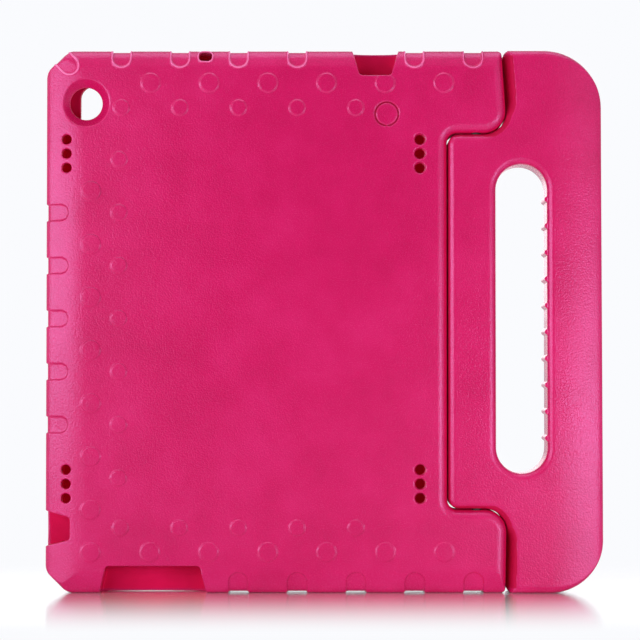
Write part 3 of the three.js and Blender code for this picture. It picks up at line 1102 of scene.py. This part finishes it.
@dataclass
class CarryHandle:
    """The handle and stand: tongue, shoulders, finger slot and grip bar. Sizes in mm."""

    sizes: CaseSizes
    upper_corner: float = 27.5
    lower_corner: float = 25.5
    outer_taper: float = 0.5
    edge: float = 3.2
    crown_wide: float = 25.0
    crown_deep: float = 4.0
    tongue_corner: float = 5.0
    root_ease: float = 0.9
    scoop_wide: float = 3.3
    scoop_deep: float = 9.0
    scoop_ease: float = 2.2
    scoop_soft: float = 1.8
    flat_share: float = 0.97
    grip_bar: float = 26.6
    slot_width: float = 24.4
    slot_height: float = 147.5
    rib_radius: float = 1.25
    rib_pitch: float = 12.67
    rib_count: int = 10
    rib_setback: float = 1.8

    @property
    def slot_right(self) -> float:
        """X of the finger slot's outer wall."""
        return self.sizes.right - self.grip_bar

    def outline(self) -> list[Point]:
        """The handle seen from behind.

        Returns:
            Its outline in X and Z, anticlockwise from the lower shoulder.
        """
        size = self.sizes
        upper, lower = self.upper_corner, self.lower_corner
        gap = size.close_gap
        tongue, root = self.tongue_corner, size.ear_corner + self.root_ease
        tongue_x = size.wall + gap + tongue
        shoulder = size.ear_end + gap
        tongue_high, tongue_low = size.upper_ear - gap, size.ear_height + gap
        pen = Pen().line_to(shoulder - size.lower_ear_taper, 0)
        pen.arc(size.right - lower, lower, lower, -QUARTER, 0)
        pen.arc(size.right - self.outer_taper - upper, size.height - upper, upper, 0, QUARTER)
        pen.line_to(shoulder - size.upper_ear_taper, size.height)
        pen.arc(shoulder - root, tongue_high + root, root, 0, -QUARTER)
        pen.arc(tongue_x, tongue_high - tongue, tongue, QUARTER, math.pi)
        pen.arc(tongue_x, tongue_low + tongue, tongue, math.pi, 3 * QUARTER)
        pen.arc(shoulder - root, tongue_low - root, root, QUARTER, 0)
        return pen.points

    def slot(self) -> Solid:
        """The finger slot with its rounded mouths, as a cutter.

        Returns:
            The cutter.
        """
        size = self.sizes
        radius = self.slot_width / 2
        reach = self.slot_height / 2 - radius
        x = self.slot_right - radius
        pen = Pen().arc(x, size.middle + reach, radius, 0, math.pi)
        pen.arc(x, size.middle - reach, radius, math.pi, 2 * math.pi)
        levels = [(size.back - PASS, -self.edge)]
        levels += [
            (place, -inset)
            for place, inset in rounded_levels(size.back, size.front, self.edge, self.edge)
        ]
        levels.append((size.front + PASS, -self.edge))
        return Solid.loft(pen.points, levels)

    def crown(self) -> Solid:
        """What the handle is trimmed to, so that its grip bar falls away outwards.

        Returns:
            The solid, long at every other side.
        """
        size = self.sizes
        pen = Pen().line_to(size.wall, size.front + PASS).line_to(size.wall, size.back)
        pen.arc(size.right - self.crown_wide, size.back + self.crown_deep, self.crown_wide,
                -QUARTER, 0, self.crown_deep)
        pen.line_to(size.right, size.front + PASS)
        return Solid.prism(pen.points, -PASS, size.height + PASS, Run.UPRIGHT)

    def scoop(self, upper: bool) -> Solid:
        """The rounded face that a shoulder turns towards an ear, as a cutter.

        Args:
            upper: Whether it is the upper shoulder.

        Returns:
            The cutter.
        """
        size = self.sizes
        taper = size.upper_ear_taper if upper else size.lower_ear_taper
        root = size.ear_corner + self.root_ease
        shoulder = size.ear_end + size.close_gap
        low = size.upper_ear - size.close_gap + self.scoop_wide + self.scoop_ease
        pen = Pen().line_to(size.wall, size.height + 2 * PASS).line_to(size.wall, low)
        pen.arc(shoulder - root, low + root, root, -QUARTER, 0)
        pen.line_to(shoulder - taper, size.height).line_to(shoulder - taper, size.height + 2 * PASS)
        wide, ease, soft = self.scoop_wide, self.scoop_ease, self.scoop_soft
        levels = [(size.back - PASS, -wide - ease)]
        for i in range(EDGE_STEPS + 1):
            t = i / EDGE_STEPS
            across = wide + ease * (1 - t) ** 2 - wide * soft / self.scoop_deep * t ** 2
            levels.append((size.back + soft * t ** 2, -across))
        levels.append((size.back + self.scoop_deep, 0.0))
        cutter = Solid.loft(pen.points, levels)
        return cutter if upper else cutter.mirrored_upright(size.height)

    def ribs(self) -> Solid:
        """The ribs on the outer wall of the finger slot.

        Returns:
            The ribs as one solid.
        """
        size = self.sizes
        ribs = []
        for i in range(self.rib_count):
            z = size.middle + (i - (self.rib_count - 1) / 2) * self.rib_pitch
            ribs.append(Solid.prism(
                circle(self.slot_right, z, self.rib_radius),
                size.back + self.rib_setback, size.front - self.rib_setback,
            ))
        return Solid.fused(ribs)

    def surface(self, middle: Vector, normal: Vector) -> Surface:
        """Tells how a face of the handle was formed.

        Args:
            middle: The face's middle in mm.
            normal: Its direction.

        Returns:
            CORE on the walls of the gap and the shoulders' sloping faces, whose darker colour is
            painted shade, else SKIN.
        """
        size = self.sizes
        margin = size.gap_margin
        off_ends = size.end_radius < middle.z < size.height - size.end_radius
        if abs(normal.y) > self.flat_share or not off_ends:
            return Surface.SKIN
        beside_ear = middle.z > size.tongue_high - margin or middle.z < size.tongue_low + margin
        shoulder = size.ear_end + size.swing_gap
        # The gap's walls and the shoulders' slopes take the handle's darker core colour, painted shade.
        in_gap = middle.x < size.wall + 2 * margin and abs(normal.y) < UPRIGHT_SHARE
        sloping = beside_ear and middle.x < shoulder + self.scoop_wide + margin / 2
        return Surface.CORE if in_gap or sloping else Surface.SKIN

    def build(self) -> Solid:
        """Shapes the handle.

        Returns:
            The handle with every cut edge still sharp.
        """
        size = self.sizes
        shoulder = size.ear_end + size.swing_gap
        levels = rounded_levels(size.back, size.front, self.edge, self.edge)
        handle = Solid.loft(self.outline(), levels).meet(self.crown(), Join.KEEP)
        for cutter in (
            self.slot(), self.scoop(True), self.scoop(False),
            size.outer_end(shoulder - size.upper_ear_taper, size.height, -1, 1),
            size.outer_end(shoulder - size.lower_ear_taper, 0, -1, -1),
            size.pin_bores(),
        ):
            handle.meet(cutter, Join.CUT)
        return handle.meet(self.ribs(), Join.ADD)


def linear_colour(code: str) -> tuple[float, float, float, float]:
    """Turns an sRGB hex colour into the linear values that the shaders take.

    Args:
        code: A colour such as "#D42664".

    Returns:
        Red, green, blue and an alpha of 1.
    """
    channels = [int(code[i:i + 2], 16) / 255 for i in (1, 3, 5)]
    red, green, blue = (c / 12.92 if c <= 0.04045 else ((c + 0.055) / 1.055) ** 2.4 for c in channels)
    return red, green, blue, 1.0


def add_node(tree: bpy.types.NodeTree, kind: str, settings: dict[str, Any] | None = None,
             inputs: dict[Any, Any] | None = None) -> bpy.types.Node:
    """Adds a node with its settings and its links.

    Args:
        tree: The node tree.
        kind: Blender's name for the node.
        settings: Values of the node's own properties.
        inputs: For each input, by name or number, a value or the socket that it is linked from.

    Returns:
        The node.
    """
    node = tree.nodes.new(kind)
    for name, value in (settings or {}).items():
        setattr(node, name, value)
    for name, value in (inputs or {}).items():
        if isinstance(value, bpy.types.NodeSocket):
            tree.links.new(value, node.inputs[name])
        else:
            node.inputs[name].default_value = value
    return node


def blank_material(name: str) -> tuple[bpy.types.Material, bpy.types.NodeTree]:
    """Makes a material without nodes.

    Args:
        name: Its name.

    Returns:
        The material and its node tree.
    """
    material = bpy.data.materials.new(name)
    material.use_nodes = True
    material.node_tree.nodes.clear()
    return material, material.node_tree


def cells_per_metre(size_mm: float) -> float:
    """The scale of a pattern whose cell has a size in mm."""
    return 1 / (size_mm * MM)


@dataclass(frozen=True)
class MouldedEvaFoam:
    """Closed-cell EVA foam, compression moulded with a skin: satin, with the mould's leather grain."""

    name: str
    colour: str = "#D2125E"
    pale: str = "#D81A66"
    deep: str = "#CB0E58"
    gloss_tint: str = "#DABCFF"
    sheen_colour: str = "#FF8CC8"
    sheen: float = 0.12
    ior: float = 1.45
    roughness: float = 0.25
    specular: float = 0.8
    sheen_roughness: float = 0.4
    satin_range: Point = (-0.05, 0.06)
    grain_mm: float = 0.85
    grain_softness: float = 0.35
    grain_depth_mm: float = 0.065
    pore_mm: float = 0.5
    pore_share: float = 0.6
    cloud_mm: float = 22.0

    def material(self) -> bpy.types.Material:
        """Builds the material.

        Returns:
            The material, for every face of a moulding.
        """
        material, tree = blank_material(self.name)
        place = add_node(tree, "ShaderNodeTexCoord").outputs["Object"]
        # The grain is a field of small rounded pebbles, as on the mould's etched wall. Real pebbles
        # and pores are about half this size, too fine to show in the render, so both are coarser.
        pebbles = add_node(tree, "ShaderNodeTexVoronoi", {"feature": "SMOOTH_F1"}, {
            "Vector": place, "Scale": cells_per_metre(self.grain_mm),
            "Smoothness": self.grain_softness, "Randomness": 1.0,
        })
        pores = add_node(tree, "ShaderNodeTexNoise", {}, {
            "Vector": place, "Scale": cells_per_metre(self.pore_mm), "Detail": 2.0, "Roughness": 0.6,
        })
        relief = add_node(tree, "ShaderNodeMath", {"operation": "MULTIPLY_ADD"}, {
            0: pores.outputs["Fac"], 1: self.pore_share, 2: pebbles.outputs["Distance"],
        })
        bump = add_node(tree, "ShaderNodeBump", {"invert": True}, {
            "Height": relief.outputs["Value"], "Strength": 1.0, "Distance": self.grain_depth_mm * MM,
        })
        # The pigment is a little uneven where the foam rose unevenly in the mould.
        clouds = add_node(tree, "ShaderNodeTexNoise", {}, {
            "Vector": place, "Scale": cells_per_metre(self.cloud_mm), "Detail": 3.0, "Roughness": 0.55,
        })
        pigment = add_node(tree, "ShaderNodeValToRGB", {}, {"Fac": clouds.outputs["Fac"]})
        stops = pigment.color_ramp.elements
        stops[0].position, stops[1].position = NOISE_LOW, NOISE_HIGH
        stops[0].color, stops[1].color = linear_colour(self.deep), linear_colour(self.pale)
        stops.new(0.5).color = linear_colour(self.colour)
        satin = add_node(tree, "ShaderNodeMapRange", {}, {
            "Value": pores.outputs["Fac"], "From Min": NOISE_LOW, "From Max": NOISE_HIGH,
            "To Min": self.roughness + self.satin_range[0],
            "To Max": self.roughness + self.satin_range[1],
        })
        foam = add_node(tree, "ShaderNodeBsdfPrincipled", {}, {
            "Base Color": pigment.outputs["Color"],
            "Roughness": satin.outputs["Result"],
            "IOR": self.ior,
            "Specular IOR Level": self.specular,
            "Specular Tint": linear_colour(self.gloss_tint),
            "Sheen Weight": self.sheen,
            "Sheen Roughness": self.sheen_roughness,
            "Sheen Tint": linear_colour(self.sheen_colour),
            "Normal": bump.outputs["Normal"],
        })
        add_node(tree, "ShaderNodeOutputMaterial", {}, {"Surface": foam.outputs["BSDF"]})
        return material


@dataclass(frozen=True)
class CoreFacedEvaFoam(MouldedEvaFoam):
    """The same foam where a plain core shaped it: dull, deeper in colour and with less grain; the
    darker colours given to the groove's and the handle's copies are painted shade.
    """

    colour: str = "#DE0C52"
    pale: str = "#E41058"
    deep: str = "#D60A4C"
    sheen: float = 0.0
    roughness: float = 0.7
    specular: float = 0.25
    grain_depth_mm: float = 0.04


@dataclass(frozen=True)
class PaintedHighlightEvaFoam(MouldedEvaFoam):
    """The same foam on the fine beads where the mould's halves pinch it: less grain, and a paler colour
    that is a painted highlight along their rims.
    """

    colour: str = "#F46AA6"
    pale: str = "#F97AB2"
    deep: str = "#EC5C9A"
    grain_depth_mm: float = 0.03


@dataclass(frozen=True)
class MouldedNylon:
    """Black nylon rod, turned to size: smooth and waxy, with faint turning lines."""

    name: str
    colour: str = "#1C1A1C"
    shade: str = "#151315"
    ior: float = 1.53
    roughness: float = 0.6
    satin_range: Point = (-0.05, 0.08)
    scatter: float = 0.1
    scatter_mm: float = 1.0
    line_mm: float = 2.5
    line_depth_mm: float = 0.02
    line_strength: float = 0.2
    mottle_mm: float = 3.0

    def material(self) -> bpy.types.Material:
        """Builds the material.

        Returns:
            The material for the pins.
        """
        material, tree = blank_material(self.name)
        place = add_node(tree, "ShaderNodeTexCoord").outputs["Object"]
        # Real turning lines lie a tenth of a millimetre apart or less, too fine to show, so they
        # are drawn 2.5 mm apart. The wave texture repeats after a tenth of pi of its unit.
        lines = add_node(tree, "ShaderNodeTexWave", {"bands_direction": "Z"}, {
            "Vector": place, "Scale": cells_per_metre(self.line_mm) * math.pi / 10,
            "Distortion": 1.5, "Detail": 2.0,
        })
        mottle = add_node(tree, "ShaderNodeTexNoise", {}, {
            "Vector": place, "Scale": cells_per_metre(self.mottle_mm), "Detail": 3.0,
        })
        colour = add_node(tree, "ShaderNodeMix", {"data_type": "RGBA"}, {
            0: mottle.outputs["Fac"], 6: linear_colour(self.colour), 7: linear_colour(self.shade),
        })
        bump = add_node(tree, "ShaderNodeBump", {}, {
            "Height": lines.outputs["Fac"], "Strength": self.line_strength,
            "Distance": self.line_depth_mm * MM,
        })
        satin = add_node(tree, "ShaderNodeMapRange", {}, {
            "Value": mottle.outputs["Fac"],
            "To Min": self.roughness + self.satin_range[0],
            "To Max": self.roughness + self.satin_range[1],
        })
        nylon = add_node(tree, "ShaderNodeBsdfPrincipled", {}, {
            "Base Color": colour.outputs[2],
            "Roughness": satin.outputs["Result"],
            "IOR": self.ior,
            "Subsurface Weight": self.scatter,
            "Subsurface Scale": self.scatter_mm * MM,
            "Normal": bump.outputs["Normal"],
        })
        add_node(tree, "ShaderNodeOutputMaterial", {}, {"Surface": nylon.outputs["BSDF"]})
        return material


def background_share(tree: bpy.types.NodeTree) -> bpy.types.NodeSocket:
    """The share of a ray that sees the plain white background instead of the studio's light.

    Args:
        tree: The node tree of the floor or the world.

    Returns:
        A socket that is 1 for camera, glossy and transmission rays.
    """
    path = add_node(tree, "ShaderNodeLightPath")
    seen = add_node(tree, "ShaderNodeMath", {"operation": "MAXIMUM"}, {
        0: path.outputs["Is Camera Ray"], 1: path.outputs["Is Glossy Ray"],
    })
    seen = add_node(tree, "ShaderNodeMath", {"operation": "MAXIMUM"}, {
        0: seen.outputs["Value"], 1: path.outputs["Is Transmission Ray"],
    })
    return seen.outputs["Value"]


@dataclass(frozen=True)
class GlossWhiteAcrylic:
    """The table: a sheet of white acrylic, glossy enough to mirror the lower edge of the case."""

    name: str = "gloss_white_acrylic"
    colour: str = "#F0F0F3"
    background: str = "#FAFBFE"
    ior: float = 1.49
    roughness: float = 0.14
    haze_range: float = 0.02
    near_m: float = 0.0
    far_m: float = 0.2
    haze_mm: float = 40.0
    footprint: tuple[float, float, float] = (0.133, 0.012, 0.0)

    def material(self) -> bpy.types.Material:
        """Builds the material.

        Returns:
            The material, which fades into the plain background away from the case.
        """
        material, tree = blank_material(self.name)
        place = add_node(tree, "ShaderNodeTexCoord").outputs["Object"]
        apart = add_node(tree, "ShaderNodeVectorMath", {"operation": "ABSOLUTE"}, {0: place})
        beyond = add_node(tree, "ShaderNodeVectorMath", {"operation": "SUBTRACT"}, {
            0: apart.outputs["Vector"], 1: self.footprint,
        })
        clear = add_node(tree, "ShaderNodeVectorMath", {"operation": "MAXIMUM"}, {
            0: beyond.outputs["Vector"], 1: (0.0, 0.0, 0.0),
        })
        distance = add_node(tree, "ShaderNodeVectorMath", {"operation": "LENGTH"}, {
            0: clear.outputs["Vector"],
        })
        fade = add_node(tree, "ShaderNodeMapRange", {"interpolation_type": "SMOOTHSTEP"}, {
            "Value": distance.outputs["Value"], "From Min": self.near_m, "From Max": self.far_m,
        })
        haze = add_node(tree, "ShaderNodeTexNoise", {}, {
            "Vector": place, "Scale": cells_per_metre(self.haze_mm),
        })
        gloss = add_node(tree, "ShaderNodeMapRange", {}, {
            "Value": haze.outputs["Fac"],
            "To Min": self.roughness - self.haze_range, "To Max": self.roughness + self.haze_range,
        })
        sheet = add_node(tree, "ShaderNodeBsdfPrincipled", {}, {
            "Base Color": linear_colour(self.colour),
            "Roughness": gloss.outputs["Result"], "IOR": self.ior,
            "Coat Weight": 1.0, "Coat Roughness": self.roughness, "Coat IOR": self.ior,
        })
        plain = add_node(tree, "ShaderNodeEmission", {}, {"Color": linear_colour(self.background)})
        share = add_node(tree, "ShaderNodeMath", {"operation": "MULTIPLY"}, {
            0: fade.outputs["Result"], 1: background_share(tree),
        })
        both = add_node(tree, "ShaderNodeMixShader", {}, {
            0: share.outputs["Value"], 1: sheet.outputs["BSDF"], 2: plain.outputs["Emission"],
        })
        add_node(tree, "ShaderNodeOutputMaterial", {}, {"Surface": both.outputs["Shader"]})
        return material


@dataclass(frozen=True)
class SoftBox:
    """A soft lamp: where it hangs, what it faces, its size and power, and whether gloss shows it."""

    name: str
    place: tuple[float, float, float]
    aim: tuple[float, float, float]
    width: float
    height: float
    watts: float
    glossy: bool = True

    def hang(self) -> None:
        """Adds the lamp to the scene."""
        lamp = bpy.data.lights.new(self.name, "AREA")
        lamp.shape = "RECTANGLE"
        lamp.size = self.width
        lamp.size_y = self.height
        lamp.energy = self.watts
        holder = bpy.data.objects.new(self.name, lamp)
        holder.location = self.place
        towards = Vector(self.aim) - Vector(self.place)
        holder.rotation_euler = towards.to_track_quat("-Z", "Y").to_euler()
        holder.visible_camera = False
        holder.visible_glossy = self.glossy
        bpy.context.scene.collection.objects.link(holder)


@dataclass(frozen=True)
class BlackFeltFlag:
    """The dark card round the lens, black felt on board, so that no light stands behind the camera."""

    name: str = "black_felt_flag"
    low: Point = (-0.39, 0.002)
    high: Point = (0.35, 0.69)
    place_y: float = -1.26
    feather_m: float = 0.14
    felt: str = "#0C0B0C"
    nap: str = "#161415"
    roughness: float = 0.95
    specular: float = 0.1
    fibre_mm: float = 0.8

    def material(self) -> bpy.types.Material:
        """Builds the felt.

        Returns:
            The material of the card.
        """
        material, tree = blank_material(self.name)
        place = add_node(tree, "ShaderNodeTexCoord").outputs["Object"]
        # The nap's tufts are finer than a tenth of a millimetre and are drawn 0.8 mm wide.
        fibres = add_node(tree, "ShaderNodeTexNoise", {}, {
            "Vector": place, "Scale": cells_per_metre(self.fibre_mm), "Detail": 3.0,
        })
        colour = add_node(tree, "ShaderNodeMix", {"data_type": "RGBA"}, {
            0: fibres.outputs["Fac"], 6: linear_colour(self.felt), 7: linear_colour(self.nap),
        })
        felt = add_node(tree, "ShaderNodeBsdfPrincipled", {}, {
            "Base Color": colour.outputs[2], "Roughness": self.roughness,
            "Specular IOR Level": self.specular,
        })
        # The felt is thinned towards its edges, so that no hard border is mirrored anywhere.
        spot = add_node(tree, "ShaderNodeSeparateXYZ", {}, {0: place})
        cover = 1.0
        edges = (("X", self.low[0], 1), ("X", self.high[0], -1), ("Z", self.high[1], -1))
        for axis, edge, towards in edges:
            fade = add_node(tree, "ShaderNodeMapRange", {"interpolation_type": "SMOOTHSTEP"}, {
                "Value": spot.outputs[axis],
                "From Min": edge, "From Max": edge + towards * self.feather_m,
            })
            both = add_node(tree, "ShaderNodeMath", {"operation": "MULTIPLY"}, {
                0: cover, 1: fade.outputs["Result"],
            })
            cover = both.outputs["Value"]
        clear = add_node(tree, "ShaderNodeBsdfTransparent")
        card = add_node(tree, "ShaderNodeMixShader", {}, {
            0: cover, 1: clear.outputs["BSDF"], 2: felt.outputs["BSDF"],
        })
        add_node(tree, "ShaderNodeOutputMaterial", {}, {"Surface": card.outputs["Shader"]})
        return material

    def hang(self) -> None:
        """Hangs the card behind the camera, as no part of the object."""
        corners = (self.low, (self.high[0], self.low[1]), self.high, (self.low[0], self.high[1]))
        mesh = bpy.data.meshes.new(self.name)
        mesh.from_pydata([(x, self.place_y, z) for x, z in corners], [], [(0, 1, 2, 3)])
        mesh.materials.append(self.material())
        card = bpy.data.objects.new(self.name, mesh)
        card.visible_camera = False
        bpy.context.scene.collection.objects.link(card)


@dataclass
class Studio:
    """The white table, the white surroundings, the soft lamps and the camera. Sizes in metres."""

    floor_size: float = 12.0
    surround: float = 0.12
    camera_place: tuple[float, float, float] = (-0.002, -1.21, 0.095)
    camera_tilt: float = 91.67
    camera_lens: float = 141.6
    camera_sensor: float = 36.0
    finish: GlossWhiteAcrylic = GlossWhiteAcrylic()
    flag: BlackFeltFlag = BlackFeltFlag()
    lamps: tuple[SoftBox, ...] = (
        SoftBox("left_softbox", (-0.66, -0.60, 0.21), (-0.06, 0.0, 0.17), 0.95, 0.32, 4.5),
        SoftBox("right_softbox", (0.40, -0.53, 0.07), (0.10, 0.0, 0.07), 0.40, 0.15, 1.15),
        SoftBox("top_softbox", (0.0, -0.16, 0.95), (0.0, 0.0, 0.15), 0.9, 0.48, 3.1),
        SoftBox("rear_softbox", (0.2, 1.2, 0.55), (0.0, 0.0, 0.13), 1.2, 0.8, 4.6),
        SoftBox("low_fill", (0.20, -0.24, 0.05), (0.08, 0.0, 0.04), 0.10, 0.06, 0.1, glossy=False),
    )

    def lay_floor(self) -> bpy.types.Object:
        """Lays the table top.

        Returns:
            The floor.
        """
        half = self.floor_size / 2
        shape = bmesh.new()
        corners = ((-half, -half), (half, -half), (half, half), (-half, half))
        shape.faces.new([shape.verts.new((x, y, 0)) for x, y in corners])
        mesh = bpy.data.meshes.new("white_table")
        shape.to_mesh(mesh)
        shape.free()
        floor = bpy.data.objects.new("white_table", mesh)
        mesh.materials.append(self.finish.material())
        bpy.context.scene.collection.objects.link(floor)
        return floor

    def surround_with_white(self) -> None:
        """Sets the world: soft even light, and plain white wherever it is seen."""
        world = bpy.data.worlds.new("white_surround")
        world.use_nodes = True
        tree = world.node_tree
        tree.nodes.clear()
        soft = add_node(tree, "ShaderNodeBackground", {}, {
            "Color": linear_colour("#FFFFFF"), "Strength": self.surround,
        })
        plain = add_node(tree, "ShaderNodeBackground", {}, {
            "Color": linear_colour(self.finish.background), "Strength": 1.0,
        })
        both = add_node(tree, "ShaderNodeMixShader", {}, {
            0: background_share(tree), 1: soft.outputs["Background"], 2: plain.outputs["Background"],
        })
        add_node(tree, "ShaderNodeOutputWorld", {}, {"Surface": both.outputs["Shader"]})
        bpy.context.scene.world = world

    def set_camera(self) -> None:
        """Puts the camera where the photograph was taken from."""
        lens = bpy.data.cameras.new("camera")
        lens.lens = self.camera_lens
        lens.sensor_width = self.camera_sensor
        camera = bpy.data.objects.new("camera", lens)
        camera.location = self.camera_place
        camera.rotation_euler = (math.radians(self.camera_tilt), 0, 0)
        bpy.context.scene.collection.objects.link(camera)
        bpy.context.scene.camera = camera

    def build(self) -> None:
        """Sets up the whole studio."""
        self.lay_floor()
        self.surround_with_white()
        for lamp in self.lamps:
            lamp.hang()
        self.flag.hang()
        self.set_camera()
        bpy.context.scene.view_settings.view_transform = "Standard"


@dataclass(frozen=True)
class Moulding:
    """How fine the mouldings' meshes are: voxel in mm, relaxing passes, triangles of each piece."""

    voxel: float = 0.32
    passes: int = 2
    tray_budget: int = 190_000
    handle_budget: int = 150_000


def dress(piece: bpy.types.Object, body: Body, node: str,
          finishes: Sequence[MouldedEvaFoam], surface: Callable[[Vector, Vector], Surface]) -> None:
    """Gives a moulding its finishes and hangs it on its body in place of its CAD node.

    Args:
        piece: The finished moulding.
        body: The body that it rides on.
        node: The CAD node that it stands for.
        finishes: Its finishes, in the order of Surface.
        surface: Tells from a face's middle in mm and its direction how it was formed.
    """
    piece.data.materials.clear()
    for finish in finishes:
        piece.data.materials.append(finish.material())
    for face in piece.data.polygons:
        face.material_index = surface(face.center / MM, face.normal).value
    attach(piece, body.value)
    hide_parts(node)
    log.info("%s: %d faces", piece.name, len(piece.data.polygons))


def main() -> None:
    """Builds the tray, the handle, the pins and the studio, in that order."""
    logging.basicConfig(level=logging.INFO, format="%(name)s: %(message)s")
    sizes = CaseSizes()
    mould = Moulding()
    tray = CaseTray(sizes)
    moulding = tray.build().moulded("tray_moulding", mould.voxel, mould.passes, mould.tray_budget)
    dress(moulding, Body.CASE, "case_tray", (
        MouldedEvaFoam("case_skin_foam"),
        CoreFacedEvaFoam("case_core_faced_foam"),
        # The beads' paler pink is a painted highlight along the rims of the top notches and the jack
        # hole.
        PaintedHighlightEvaFoam("case_bead_painted_highlight_foam"),
        # The groove's dark red is painted shade in the narrow groove round the plain mark.
        CoreFacedEvaFoam("case_groove_painted_shade_foam", "#A80438", "#B0063E", "#A00230"),
    ), tray.surface)
    handle = CarryHandle(sizes)
    moulding = handle.build().moulded("handle_moulding", mould.voxel, mould.passes, mould.handle_budget)
    dress(moulding, Body.HANDLE, "carry_handle", (
        MouldedEvaFoam("handle_skin_foam"),
        # The handle's darker core colour is painted shade in the gap and on the shoulders' slopes
        # beside the ears.
        CoreFacedEvaFoam("handle_painted_shade_core_foam", "#BE0740", "#C40A46", "#B8063A"),
    ), handle.surface)
    nylon = MouldedNylon("pin_nylon_moulded").material()
    for name in ("upper_pivot_pin", "lower_pivot_pin"):
        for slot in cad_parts[name].material_slots:
            slot.material = nylon
        log.info("%s: nylon", name)
    Studio().build()


if __name__ == "__main__":
    main()
